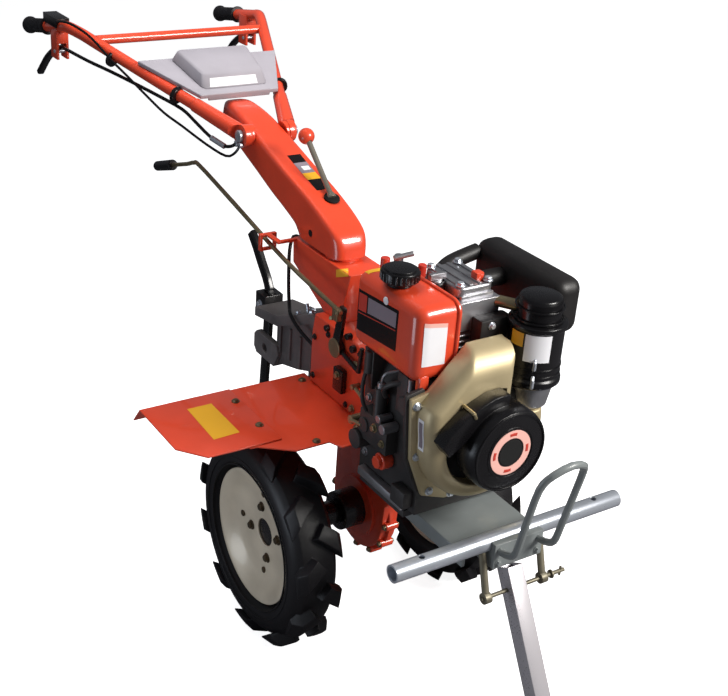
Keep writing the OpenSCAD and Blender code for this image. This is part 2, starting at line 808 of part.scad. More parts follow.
// Cast body under a sloping top plate, with two ears for the hitch pin
module hitch_housing() {
    color([0.25, 0.25, 0.26]) parked() difference() {
        union() {
            across(-hitch_body_hw, hitch_body_hw) polygon([
                [gearbox_rear, 272], [gearbox_rear, 379], [158, 382], [hitch_body_rear, 318],
                [hitch_body_rear, 262], [300, 214], [220, 236]
            ]);
            across(-hitch_hw, hitch_hw) polygon([
                [gearbox_rear, 380], [155, 402], [300, 336], [hitch_rear, 316], [hitch_rear, 294], [300, 310],
                [160, 376], [gearbox_rear, 368]
            ]);
            across(-hitch_hw, hitch_hw) polygon([
                [290, 240], [300, 262], [hitch_rear - 12, 262], [hitch_rear, 250], [hitch_rear, 218],
                [hitch_rear - 12, 205], [308, 205]
            ]);
        }
        across(-hitch_slot_hw, hitch_slot_hw) polygon([
            [hitch_body_rear, 190], [hitch_body_rear, 290], [hitch_rear + 1, 290], [hitch_rear + 1, 190]
        ]);
        cross_rod(-hitch_hw - 1, hitch_hw + 1, hitch_pin_y, hitch_pin_z, hitch_pin_r);
    }
}

module drag_bar_clamp() {
    color(black) parked() difference() {
        translate([-24, hitch_rear, clamp_z0])
            cube([48, bar_y + bar_t + 8 - hitch_rear, clamp_z1 - clamp_z0]);
        translate([-bar_w - bar_fit, bar_y - bar_t - bar_fit, clamp_z0 - 1])
            cube([2 * (bar_w + bar_fit), 2 * (bar_t + bar_fit), clamp_z1 - clamp_z0 + 2]);
    }
}

bar_path = concat(
    [[0, 517, 449]],
    spline([[0, 492, 424], [0, 466, 393], [0, 438, 362], [0, bar_y, clamp_z1 + 4], [0, bar_y, clamp_z1],
        [0, bar_y, clamp_z0], [0, bar_y, clamp_z0 - 4], [0, 428, 200], [0, 434, 110], [0, 440, 40],
        [0, 456, -10]], 3),
    [[0, 474, -40]]
);

module drag_bar() {
    color(black) parked() swept_bar(bar_path, bar_w, bar_t, X, 8, 0.5);
}

// Control cable from the column over the hitch housing to the rear of the gearbox
cable_r = 4;

module rear_cable() {
    path = concat(
        [[-18, 254.7, 530]],
        spline([[-18, 264, 531], [-19, 296, 522], [-21, 306, 488], [-24, 301, 440], [-32, 284, 400],
            [-45, 256, 377], [-56, 232, 371], [-60, 200, 360], [-60, 164, 350],
            [-59, gearbox_rear + 12, 345]], 3),
        [[-59, gearbox_rear + face_gap, 345]]
    );
    color(black) parked() swept_tube(path, cable_r, X, 8);
}

/* Shift control */
module shift_rod() {
    path = spline([for (q = concat(shift_path, [shift_end])) [shift_x, q[0], q[1]]], 4);
    color([0.62, 0.58, 0.48]) parked() swept_tube(path, shift_r, X, 10);
}

module shift_grip() {
    d = unit(shift_end - shift_path[5]);
    e = [shift_x, shift_end[0], shift_end[1]];
    color(black) parked() rod(e, e + [0, d[0], d[1]] * 96, 13, 12);
}

// Arm that carries the rod's front end on the side of the gearbox
module shift_pivot() {
    near = shift_x + shift_r + 0.2;
    color(black) parked() union() {
        across(near, near + 8) polygon([[-13, 490], [3, 492], [26, 394], [0, 394]]);
        cross_rod(near, -gearbox_hw, 13, 394, 17);
    }
}

/* Neck */
disc_t = 15;
disc_r = 70;
neck_z = swivel_z + face_gap + disc_t;

module swivel_disc() {
    color(orange) parked() difference() {
        translate([0, swivel_y, swivel_z + face_gap]) cylinder(h = disc_t, r = disc_r);
        translate([0, swivel_y, swivel_z - 1]) cylinder(h = disc_t + 5, r = swivel_pin_r + run_fit);
    }
}

// Stations of the swan neck: underside (y, z), crown (y, z), half width and share of the hollow
neck_stations = [
    [[256, neck_z], [53, neck_z], 42, 1], [[262, 562], [54, 588], 42, 1], [[272, 574], [64, 616], 42, 1],
    [[292, 586], [90, 640], 42, 1], [[325, 601], [145, 664], 42, 1], [[370, 618], [218, 688], 42, 1],
    [[434, 644], [300, 704], 42, 1], [[502, 658], [400, 725], 41, 1], [[558, 668], [500, 738], 39, 0.8],
    [[606, 682], [576, 744], 34, 0.3], [[628, 694], [614, 739], 26, 0.1], [[640, 706], [632, 730], 14, 0.1]
];
neck_wall = 6;
neck_square = 0.46;
lip = 50;

// Points of a station's squared oval, shrunk by inset and then by a share, between two angles
function neck_arc(s, inset, share, from, to, count) =
    let (under = [0, s[0][0], s[0][1]], crown = [0, s[1][0], s[1][1]], up = unit(crown - under),
        mid = (under + crown) / 2, hh = (norm(crown - under) / 2 - inset) * share,
        hw = (s[2] - inset) * share)
        [for (k = [0:count]) let (a = from + (to - from) * k / count)
            mid + up * hh * spow(sin(a), neck_square) + X * hw * spow(cos(a), neck_square)];

// The casting is an arch in section, open along its underside
function neck_ring(s) = concat(
    neck_arc(s, 0, 1, -lip, 180 + lip, 18), neck_arc(s, neck_wall, s[3], 180 + lip, -lip, 18));

module neck_solid() {
    step = (180 + 2 * lip) / 18;
    skin([for (s = neck_stations) concat(
        neck_arc(s, 0, 1, -lip, 180 + lip, 18), neck_arc(s, 0, 1, 180 + lip + step, 360 - lip - step, 3))]);
}

module neck() {
    color(orange) parked() skin([for (s = neck_stations) neck_ring(s)]);
}

boss_out = 47;
eye_t = 16;
bolt_head = 9;

module pivot_bosses() {
    color(orange) parked() difference() {
        for (side = [-1, 1]) handed(side) cross_rod(-boss_out, -20, pivot_y, pivot_z, 23);
        neck_solid();
    }
}

module pivot_bolts() {
    color(black) parked() for (side = [-1, 1]) handed(side) union() {
        head = -boss_out - eye_t - 2 * face_gap;
        cross_rod(head, -boss_out, pivot_y, pivot_z, pivot_r);
        cross_rod(head - bolt_head, head, pivot_y, pivot_z, 13);
    }
}

lever_x = 10;
lever_foot = [lever_x, 192, 668];
lever_root = [lever_x, 195, 682];
lever_top = [lever_x, 306, 736];

module lever_shaft() {
    rod(lever_root, lever_top, 5, 5);
}

module gear_lever() {
    color(black) parked() difference() {
        union() {
            rod(lever_foot, lever_foot + [0, 4, 24], 15, 9);
            lever_shaft();
        }
        neck_solid();
    }
}

module gear_knob() {
    color(orange) parked() difference() {
        translate(lever_top + [0, 4, 3]) sphere(17.5);
        lever_shaft();
    }
}

/* Handlebar */
handle_from = [-pivot_x, pivot_y, pivot_z];
handle_to = [-spread, cross_y, cross_z];
handle_dir = unit(handle_to - handle_from);
arm_end = handle_from + handle_dir * 150;

module handle_arm_form() {
    difference() {
        union() {
            cross_rod(-boss_out - face_gap - eye_t, -boss_out - face_gap, pivot_y, pivot_z, 24);
            rod(handle_from + handle_dir * 16, arm_end, 19, tube_r + 2);
        }
        cross_rod(-boss_out - 60, -20, pivot_y, pivot_z, pivot_r + run_fit);
        cross_rod(-boss_out - 60, -boss_out - face_gap - eye_t, pivot_y, pivot_z, 25);
        translate([-boss_out - face_gap, pivot_y - 60, pivot_z - 60]) cube([60, 100, 120]);
    }
}

// The last stretch of tube is straight and carries the lever bracket, the throttle and the grip
tail_l = 128;
grip_from = [-grip_start[0], grip_start[1], grip_start[2]];
tail_dir = [-grip_dir[0], grip_dir[1], grip_dir[2]];
tail_from = grip_from - tail_dir * tail_l;
tube_path = concat(
    [arm_end],
    [for (t = [0.5, 0.75]) blend(handle_from, handle_to, t)],
    spline([handle_to, handle_to + handle_dir * 34, tail_from, tail_from + tail_dir * 30], 4),
    [tail_from + tail_dir * 60, grip_from - tail_dir * 20, grip_from]
);

module tail_bore() {
    rod(tail_from, grip_from, tube_r + face_gap, tube_r + face_gap);
}

module handle_tube_form() {
    swept_tube(tube_path, tube_r, X, 14);
}

module handle_arms() { color(orange) parked() for (side = [-1, 1]) handed(side) handle_arm_form(); }
module handle_tube_right() { color(orange) parked() handed(-1) handle_tube_form(); }
module handle_tube_left() { color(orange) parked() handed(1) handle_tube_form(); }

module handle_crossbar() {
    color(orange) parked() difference() {
        cross_rod(-spread, spread, cross_y, cross_z, 11);
        for (side = [-1, 1]) handed(side)
            rod(handle_to - handle_dir * 60, handle_to + handle_dir * 60, tube_r + 0.1, tube_r + 0.1);
    }
}

module grip_form() {
    d = tail_dir;
    translate(grip_from)
        rotate([0, acos(d[2]), atan2(d[1], d[0])]) rotate_extrude() polygon([
            [0, 0], [grip_r + grip_flange, 0], [grip_r + grip_flange, 5], [grip_r - 1, 8],
            [grip_r - 1, grip_l - 14], [grip_r + 1, grip_l - 10], [grip_r + grip_flange, grip_l - 6],
            [grip_r + grip_flange, grip_l],
            [0, grip_l]
        ]);
}

module grips() { color(black) parked() for (side = [-1, 1]) handed(side) grip_form(); }

lever_hw = 9;
lever_at = -256;
lever_path = spline([[lever_at, 1040, 776], [lever_at, 1080, 760], [-258, 1120, 735], [-260, 1150, 708],
    [-262, 1174, 684]], 3);

module clutch_lever_form() {
    swept_bar(lever_path, lever_hw, 7, X, 8, 0.5);
}

module clutch_levers() { color(black) parked() for (side = [-1, 1]) handed(side) clutch_lever_form(); }

// Bracket that hangs a clutch lever under its tube
module lever_brackets() {
    color(orange) parked() for (side = [-1, 1]) handed(side) difference() {
        translate([lever_at - 15, 1020, 752]) cube([30, 40, 76]);
        tail_bore();
        translate([lever_at - lever_hw - face_gap, 1010, 740]) cube([2 * (lever_hw + face_gap), 60, 50]);
    }
}

throttle_front = 1012;

// Throttle quadrant clamped over the right tube
module throttle_box() {
    color(black) parked() difference() {
        translate([-274, throttle_front, 829]) cube([34, 86, 22]);
        tail_bore();
    }
}

// Cables from the right clutch lever and the throttle to the pivot eye of the right arm
eye_x = -boss_out - face_gap - eye_t;
wire_r = 3;

module handle_cables() {
    up = [0, 0, 1];
    d = heading(lever_path, 0);
    clutch = concat(
        [lever_path[0] - d * face_gap],
        spline([lever_path[0] - d * 20, [-257, 985, 783], [-237, 907, 774], [-210, 840, 764],
            [-182, 770, 752], [-154, 696, 739], [-127, 629, 724], [-114, 592, 706], [-98, 548, 682],
            [-84, 510, 670], [-76, 486, 674], [eye_x - 7, 472, 684]], 3),
        [[eye_x - face_gap, 472, 684]]
    );
    throttle = concat(
        [[-270.5, throttle_front - face_gap, 845.5]],
        spline([[-272, 996, 849], [-268, 965, 854], [-259, 932, 852], [-243, 894, 840],
            [-230, 861, 822], [-216, 824, 797],
            [-197, 776, 770], [-175, 718, 737], [-154, 666, 708], [-134, 615, 690], [-106, 546, 664],
            [-86, 490, 652], [-77, 464, 666], [eye_x - 7, 455, 684.5]], 3),
        [[eye_x - face_gap, 455, 684.5]]
    );
    color(black) parked() union() {
        swept_tube(clutch, cable_r, up, 8);
        swept_tube(throttle, wire_r, up, 8);
    }
}

// Tool box: a flared tray across the tubes with a raised cover
tray_front = 596;
tray_rear = 760;
tray_t = 10;
cover_h = 26;
handle_slope = atan2(cross_z - pivot_z, cross_y - pivot_y);

// Works in the plane of the handle tubes, with its origin at the pivot
module on_handles() {
    translate([0, pivot_y, pivot_z]) rotate([handle_slope, 0, 0]) children();
}

// Distance along the tubes of a point that lies y behind the axle
function along_handles(y) = (y - pivot_y) / cos(handle_slope);

module toolbox_tray() {
    f = along_handles(tray_front);
    r = along_handles(tray_rear);
    color([0.78, 0.76, 0.77]) parked() on_handles() translate([0, 0, tube_r + face_gap]) union() {
        linear_extrude(height = tray_t) polygon([[-98, f], [98, f], [178, r], [-178, r]]);
        translate([-78, f, -6]) cube([156, 5, 7]);
    }
}

// Corners of the cover at height z: front and rear edges with their half widths, slightly rounded
function cover_ring(front, rear, hf, hr, z) =
    let (f = along_handles(front), r = along_handles(rear), c = 8)
        [[-hf, f + c, z], [-hr, r - c, z], [-hr + c, r, z], [hr - c, r, z], [hr, r - c, z], [hf, f + c, z],
            [hf - c, f, z], [-hf + c, f, z]];

module toolbox_cover() {
    color([0.78, 0.76, 0.77]) parked() on_handles() translate([0, 0, tube_r + face_gap + tray_t]) skin([
        cover_ring(618, 758, 83, 99, 0), cover_ring(636, 754, 77, 91, cover_h - 4),
        cover_ring(642, 750, 73, 87, cover_h)
    ]);
}

gearcase();
axle_housings();
gearbox();
column();
lever_guide();
fenders();
fender_extensions();
base_plate();
crankcase();
cylinder_head();
rocker_cover();
fan_cowl();
recoil_starter();
fuel_tank();
fuel_cap();
air_cleaner_base();
air_cleaner();
intake_elbow();
muffler();
exhaust_pipe();
injection_pump();
oil_cap();
bumper_tube();
bumper_bracket();
guard_loop();
stand_hangers();
stand_leg();
stand_foot();
hitch_housing();
drag_bar_clamp();
drag_bar();
rear_cable();
shift_rod();
shift_grip();
shift_pivot();
swivel_disc();
neck();
pivot_bosses();
pivot_bolts();
gear_lever();
gear_knob();
handle_arms();
handle_tube_right();
handle_tube_left();
handle_crossbar();
grips();
clutch_levers();
lever_brackets();
throttle_box();
handle_cables();
toolbox_tray();
toolbox_cover();
tyre_right();
tyre_left();
rim_right();
rim_left();
axle_right();
axle_left();
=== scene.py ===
"""Looks of the walk-behind power tiller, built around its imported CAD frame.

Places are written in the machine's level frame, in millimetres: X to the machine's left,
Y to the rear, Z up, with the axle at the origin. The machine is parked nose-down, so
LevelFrame turns those places into the row frame, which is in metres.
"""

import json
import logging
import math
from dataclasses import dataclass, field
from enum import Enum
from typing import Any, Iterable, Sequence, Union

import bmesh
import bpy
from mathutils import Matrix, Vector
from mathutils.bvhtree import BVHTree

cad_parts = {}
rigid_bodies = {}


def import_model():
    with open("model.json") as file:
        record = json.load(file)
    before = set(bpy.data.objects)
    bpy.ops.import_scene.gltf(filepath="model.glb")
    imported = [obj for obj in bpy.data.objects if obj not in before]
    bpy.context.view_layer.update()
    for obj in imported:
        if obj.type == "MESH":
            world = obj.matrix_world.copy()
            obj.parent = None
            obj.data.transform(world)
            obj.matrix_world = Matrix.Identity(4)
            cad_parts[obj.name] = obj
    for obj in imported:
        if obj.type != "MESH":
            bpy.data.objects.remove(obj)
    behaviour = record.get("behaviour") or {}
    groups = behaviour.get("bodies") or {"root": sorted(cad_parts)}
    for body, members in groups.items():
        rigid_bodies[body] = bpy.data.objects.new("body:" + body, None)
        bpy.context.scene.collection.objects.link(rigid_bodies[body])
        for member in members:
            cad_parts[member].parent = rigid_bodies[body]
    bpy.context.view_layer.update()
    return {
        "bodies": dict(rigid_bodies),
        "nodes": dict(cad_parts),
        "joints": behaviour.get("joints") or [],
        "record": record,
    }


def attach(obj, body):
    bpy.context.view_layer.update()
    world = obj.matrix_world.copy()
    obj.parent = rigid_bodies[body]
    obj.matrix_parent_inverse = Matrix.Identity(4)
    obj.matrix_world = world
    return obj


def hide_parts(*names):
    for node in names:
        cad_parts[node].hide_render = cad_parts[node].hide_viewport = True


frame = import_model()

log = logging.getLogger("power_tiller")

Point = Sequence[float]
Colour = tuple[float, float, float]
MM = 0.001
SHARP_ANGLE = math.radians(35)
FLAT_ANGLE = math.radians(0.6)
WELD = 2e-5
CAST_FROM = 0.2
SENSOR_WIDTH = 36.0


def srgb(red: int, green: int, blue: int) -> Colour:
    """Linear colour of an 8-bit display colour."""
    def linear(value: int) -> float:
        share = value / 255
        return share / 12.92 if share <= 0.04045 else ((share + 0.055) / 1.055) ** 2.4
    return (linear(red), linear(green), linear(blue))


class Body(Enum):
    """The CAD bodies that pieces ride on."""

    FRAME = "frame"
    NECK = "neck"
    HANDLEBAR = "handlebar"
    WHEEL_RIGHT = "wheel_right"
    WHEEL_LEFT = "wheel_left"
    STAND = "stand"


class Grain(Enum):
    """Fine relief of a surface: feature size per metre, and depth in metres."""

    PEEL = (260.0, 0.00012)
    CAST = (420.0, 0.00035)
    MOULDED = (900.0, 0.00010)
    DRAWN = (1400.0, 0.00005)
    RUBBER = (700.0, 0.00022)
    PRINT = (1200.0, 0.00002)


class Value:
    """A shader socket or a number that takes part in sums."""

    def __init__(self, graph: "Graph", source: Union[float, bpy.types.NodeSocket]) -> None:
        self.graph = graph
        self.source = source

    def _sum(self, operation: str, *terms: Any) -> "Value":
        """One maths node.

        Args:
            operation: Name of the maths operation.
            terms: Its operands, numbers or values.

        Returns:
            The result.
        """
        node = self.graph.node("ShaderNodeMath", {"operation": operation}, dict(enumerate(terms)))
        return Value(self.graph, node.outputs[0])

    def __add__(self, other: Any) -> "Value":
        """Sum."""
        return self._sum("ADD", self, other)

    def __sub__(self, other: Any) -> "Value":
        """Difference."""
        return self._sum("SUBTRACT", self, other)

    def __rsub__(self, other: Any) -> "Value":
        """Difference, from the right."""
        return self._sum("SUBTRACT", other, self)

    def __mul__(self, other: Any) -> "Value":
        """Product."""
        return self._sum("MULTIPLY", self, other)

    __radd__ = __add__
    __rmul__ = __mul__

    def between(self, low: float, high: float) -> "Value":
        """0 at low, 1 at high, held at both ends.

        Args:
            low: Input that gives 0.
            high: Input that gives 1.

        Returns:
            The share, from 0 to 1.
        """
        node = self.graph.node(
            "ShaderNodeMapRange", {"clamp": True},
            {"Value": self, "From Min": low, "From Max": high})
        return Value(self.graph, node.outputs["Result"])


class Graph:
    """The node tree of one material or world."""

    def __init__(self, owner: Union[bpy.types.Material, bpy.types.World]) -> None:
        owner.use_nodes = True
        self.tree = owner.node_tree
        self.tree.nodes.clear()

    def node(self, kind: str, settings: dict | None = None,
             inputs: dict | None = None) -> bpy.types.Node:
        """Adds a node.

        Args:
            kind: Node type.
            settings: Attributes to set on it.
            inputs: Its inputs by name or place, as constants, sockets or values.

        Returns:
            The node.
        """
        made = self.tree.nodes.new(kind)
        for name, setting in (settings or {}).items():
            setattr(made, name, setting)
        for name, given in (inputs or {}).items():
            given = given.source if isinstance(given, Value) else given
            if isinstance(given, bpy.types.NodeSocket):
                self.tree.links.new(given, made.inputs[name])
            else:
                made.inputs[name].default_value = given
        return made

    def noise(self, scale: float, detail: float = 2.0, stretch: Point = (1, 1, 1)) -> Value:
        """Noise over the object's own coordinates.

        Args:
            scale: Features per metre.
            detail: Octaves.
            stretch: Factor on each axis.

        Returns:
            Noise, about 0.5.
        """
        place = self.node("ShaderNodeTexCoord").outputs["Object"]
        scaled = self.node("ShaderNodeMapping", None, {"Vector": place, "Scale": tuple(stretch)})
        made = self.node(
            "ShaderNodeTexNoise", None,
            {"Vector": scaled.outputs[0], "Scale": scale, "Detail": detail, "Roughness": 0.55})
        return Value(self, made.outputs["Fac"])

    def mix(self, share: Value, first: Any, second: Any) -> bpy.types.NodeSocket:
        """Blend of two colours.

        Args:
            share: 0 gives the first, 1 the second.
            first: Colour or socket.
            second: Colour or socket.

        Returns:
            The blended colour's socket.
        """
        def full(colour: Any) -> Any:
            return colour if isinstance(colour, bpy.types.NodeSocket) else (*colour, 1.0)
        made = self.node(
            "ShaderNodeMix", {"data_type": "RGBA"},
            {"Factor": share, 6: full(first), 7: full(second)})
        return made.outputs[2]

    def edges(self, radius: float) -> tuple[bpy.types.NodeSocket, Value]:
        """Softened edges.

        Args:
            radius: Edge radius in metres.

        Returns:
            The softened normal, and a mask that is 1 along the edges.
        """
        soft = self.node("ShaderNodeBevel", {"samples": 4}, {"Radius": radius}).outputs[0]
        hard = self.node("ShaderNodeNewGeometry").outputs["Normal"]
        turned = self.node("ShaderNodeVectorMath", {"operation": "DOT_PRODUCT"}, {0: soft, 1: hard})
        return soft, Value(self, turned.outputs["Value"]).between(0.985, 0.80)


@dataclass(frozen=True)
class Finish:
    """One surface finish: colour, gloss, grain and signs of use.

    Attributes:
        slot: Material slot of the record that it belongs to; not used.
        colour: Main colour.
        rough: Roughness.
        metal: 1 for bare or plated metal.
        coat: Weight of the clear coat.
        grain: Fine relief.
        mottle: Share by which the colour drifts over the surface.
        worn: Colour that shows along edges.
        wear: How much of it shows.
        edge: Radius of the softened edges, in metres.
        stretch: Factor on each axis of the drift, for drawn or brushed metal.
    """

    slot: str
    colour: Colour
    rough: float
    metal: float = 0.0
    coat: float = 0.0
    grain: Grain = Grain.PEEL
    mottle: float = 0.10
    worn: Colour | None = None
    wear: float = 0.0
    edge: float = 0.0016
    stretch: tuple[float, float, float] = (1.0, 1.0, 1.0)

    def material(self, name: str) -> bpy.types.Material:
        """Builds the material.

        Args:
            name: Name of the material.

        Returns:
            The material.
        """
        made = bpy.data.materials.new(name)
        graph = Graph(made)
        drift = graph.noise(9.0, 4.0, self.stretch)
        size, depth = self.grain.value
        fine = graph.noise(size, 3.0, self.stretch)
        soft, rims = graph.edges(self.edge)
        dark = tuple(channel * (1 - 2.2 * self.mottle) for channel in self.colour)
        light = tuple(min(1.0, channel * (1 + 0.8 * self.mottle)) for channel in self.colour)
        colour = graph.mix(drift.between(0.3, 0.7), dark, light)
        if self.worn:
            chips = rims * graph.noise(160.0, 4.0).between(0.45, 0.62) * self.wear
            colour = graph.mix(chips, colour, self.worn)
        relief = graph.node(
            "ShaderNodeBump", None,
            {"Strength": 0.6, "Distance": depth, "Height": fine, "Normal": soft})
        shader = graph.node("ShaderNodeBsdfPrincipled", None, {
            "Base Color": colour,
            "Roughness": self.rough + (fine - 0.5) * 0.10 + (drift - 0.5) * 0.16,
            "Metallic": self.metal,
            "Coat Weight": self.coat,
            "Coat Roughness": 0.06,
            "Normal": relief.outputs[0],
        })
        graph.node("ShaderNodeOutputMaterial", None, {"Surface": shader.outputs[0]})
        return made


class Skin(Enum):
    """Every finish on the machine."""

    ORANGE = Finish("orange_paint", srgb(228, 74, 43), 0.34, coat=0.9, mottle=0.05,
                    worn=srgb(150, 60, 40), wear=0.35)
    BLACK_PAINT = Finish("black_paint", srgb(20, 19, 20), 0.28, coat=0.3,
                         worn=srgb(90, 88, 86), wear=0.5)
    MUFFLER = Finish("black_paint", srgb(30, 28, 28), 0.48, grain=Grain.CAST, mottle=0.18)
    CASTING = Finish("dark_casting", srgb(66, 64, 64), 0.50, metal=0.25, grain=Grain.CAST,
                     mottle=0.22, worn=srgb(140, 138, 134), wear=0.6)
    ALLOY = Finish("alloy", srgb(186, 186, 190), 0.36, metal=0.85, grain=Grain.CAST,
                   mottle=0.12, worn=srgb(230, 230, 232), wear=0.4)
    CHAMPAGNE = Finish("champagne_paint", srgb(196, 180, 142), 0.47, metal=0.5, coat=0.05,
                       mottle=0.06, worn=srgb(120, 108, 80), wear=0.3)
    CREAM = Finish("cream_paint", srgb(226, 214, 190), 0.38, metal=0.15, coat=0.35,
                   mottle=0.08, worn=srgb(130, 120, 96), wear=0.4)
    PLASTIC = Finish("black_plastic", srgb(16, 15, 17), 0.27, grain=Grain.MOULDED, mottle=0.12)
    GRIP = Finish("grip_rubber", srgb(22, 21, 24), 0.52, grain=Grain.RUBBER, mottle=0.15)
    GREY_PLASTIC = Finish("grey_plastic", srgb(166, 161, 168), 0.44, grain=Grain.MOULDED,
                          mottle=0.04)
    GREY_PAINT = Finish("grey_paint", srgb(128, 134, 134), 0.40, coat=0.25, mottle=0.07,
                        worn=srgb(80, 84, 84), wear=0.4)
    ZINC = Finish("zinc_steel", srgb(202, 208, 217), 0.30, metal=0.65, grain=Grain.DRAWN,
                  mottle=0.08, stretch=(0.15, 1.0, 1.0))
    LEG = Finish("zinc_steel", srgb(214, 210, 214), 0.30, metal=0.5, grain=Grain.DRAWN, mottle=0.03,
                 stretch=(1.0, 0.2, 0.2))
    BRASS = Finish("yellow_zinc", srgb(176, 162, 128), 0.36, metal=0.85, grain=Grain.DRAWN,
                   mottle=0.16, worn=srgb(110, 96, 66), wear=0.4)
    LEVER = Finish("yellow_zinc", srgb(196, 186, 168), 0.30, metal=0.8, grain=Grain.DRAWN, mottle=0.10)
    BRONZE = Finish("yellow_zinc", srgb(84, 70, 50), 0.42, metal=0.6, grain=Grain.DRAWN, mottle=0.2,
                    worn=srgb(150, 136, 110), wear=0.6)
    OLIVE = Finish("yellow_zinc", srgb(132, 126, 108), 0.46, metal=0.55, grain=Grain.DRAWN,
                   mottle=0.18, worn=srgb(90, 84, 66), wear=0.4)
    HITCH = Finish("dark_casting", srgb(112, 107, 107), 0.46, metal=0.2, grain=Grain.CAST,
                   mottle=0.2, worn=srgb(150, 146, 142), wear=0.5)
    RUBBER = Finish("tyre_rubber", srgb(18, 16, 19), 0.44, grain=Grain.RUBBER, mottle=0.20,
                    worn=srgb(40, 37, 41), wear=0.5, edge=0.003)
    FIELD_WHITE = Finish("grey_plastic", srgb(238, 238, 242), 0.40, grain=Grain.PRINT, mottle=0.02)
    FIELD_YELLOW = Finish("yellow_zinc", srgb(236, 176, 44), 0.42, grain=Grain.PRINT, mottle=0.03)
    FIELD_GREY = Finish("grey_plastic", srgb(134, 124, 134), 0.42, grain=Grain.PRINT, mottle=0.04)
    FIELD_BLACK = Finish("black_plastic", srgb(16, 13, 14), 0.24, grain=Grain.PRINT, mottle=0.08)
    FIELD_RED = Finish("orange_paint", srgb(196, 58, 44), 0.40, grain=Grain.PRINT, mottle=0.04)
    FIELD_ROSE = Finish("orange_paint", srgb(240, 184, 172), 0.42, grain=Grain.PRINT, mottle=0.03)
    # Near-black painted shade that stands for the dark inside holes and recesses which are not modelled.
    HOLLOW = Finish("black_plastic", srgb(8, 8, 9), 0.80, grain=Grain.CAST, mottle=0.2)


class Paintshop:
    """Makes each finish's material once."""

    def __init__(self) -> None:
        self._made: dict[Skin, bpy.types.Material] = {}

    def coat(self, piece: bpy.types.Object, skin: Skin) -> None:
        """Gives a piece its finish.

        Args:
            piece: The piece.
            skin: Its finish.
        """
        if skin not in self._made:
            self._made[skin] = skin.value.material(skin.name.lower())
        piece.data.materials.clear()
        piece.data.materials.append(self._made[skin])


@dataclass(frozen=True)
class LevelFrame:
    """The level frame of the machine within the row frame.

    Attributes:
        axle: Middle of the axle, in metres.
        pitch: Nose-down angle, in radians.
    """

    axle: Vector
    pitch: float

    @classmethod
    def of(cls, packed: dict) -> "LevelFrame":
        """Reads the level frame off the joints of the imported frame."""
        joints = {joint["name"]: joint for joint in packed["joints"]}
        wheel = Vector(joints["wheel_right_spin"]["pos_m"])
        up = Vector(joints["neck_swivel"]["axis"])
        return cls(Vector((0, wheel.y, wheel.z)), math.atan2(-up.y, up.z))

    @property
    def matrix(self) -> Matrix:
        """From level millimetres to row metres."""
        parked = Matrix.Translation(self.axle) @ Matrix.Rotation(self.pitch, 4, "X")
        return parked @ Matrix.Scale(MM, 4)

    def at(self, place: Point) -> Vector:
        """Row-frame place of a level-frame one."""
        return self.matrix @ Vector(place)

    def towards(self, direction: Point) -> Vector:
        """Row-frame direction of a level-frame one."""
        return (self.matrix.to_3x3() @ Vector(direction)).normalized()


def curve(points: Sequence[Point], steps: int = 8) -> list[Vector]:
    """Smooth line through points.

    Args:
        points: The points that it passes.
        steps: Stretches between neighbours.

    Returns:
        The points of the line.
    """
    given = [Vector(point) for point in points]
    line = []
    for index in range(len(given) - 1):
        before = given[max(index - 1, 0)]
        here, there = given[index], given[index + 1]
        after = given[min(index + 2, len(given) - 1)]
        for step in range(steps):
            t = step / steps
            line.append(0.5 * (
                2 * here + (there - before) * t
                + (2 * before - 5 * here + 4 * there - after) * t * t
                + (3 * here - before - 3 * there + after) * t ** 3))
    return line + [given[-1]]


def across(axis: Point) -> tuple[Vector, Vector, Vector]:
    """Two directions square to an axis, and the axis itself."""
    along = Vector(axis).normalized()
    helper = Vector((0, 0, 1)) if abs(along.z) < 0.9 else Vector((0, 1, 0))
    side = helper.cross(along).normalized()
    return side, along.cross(side), along


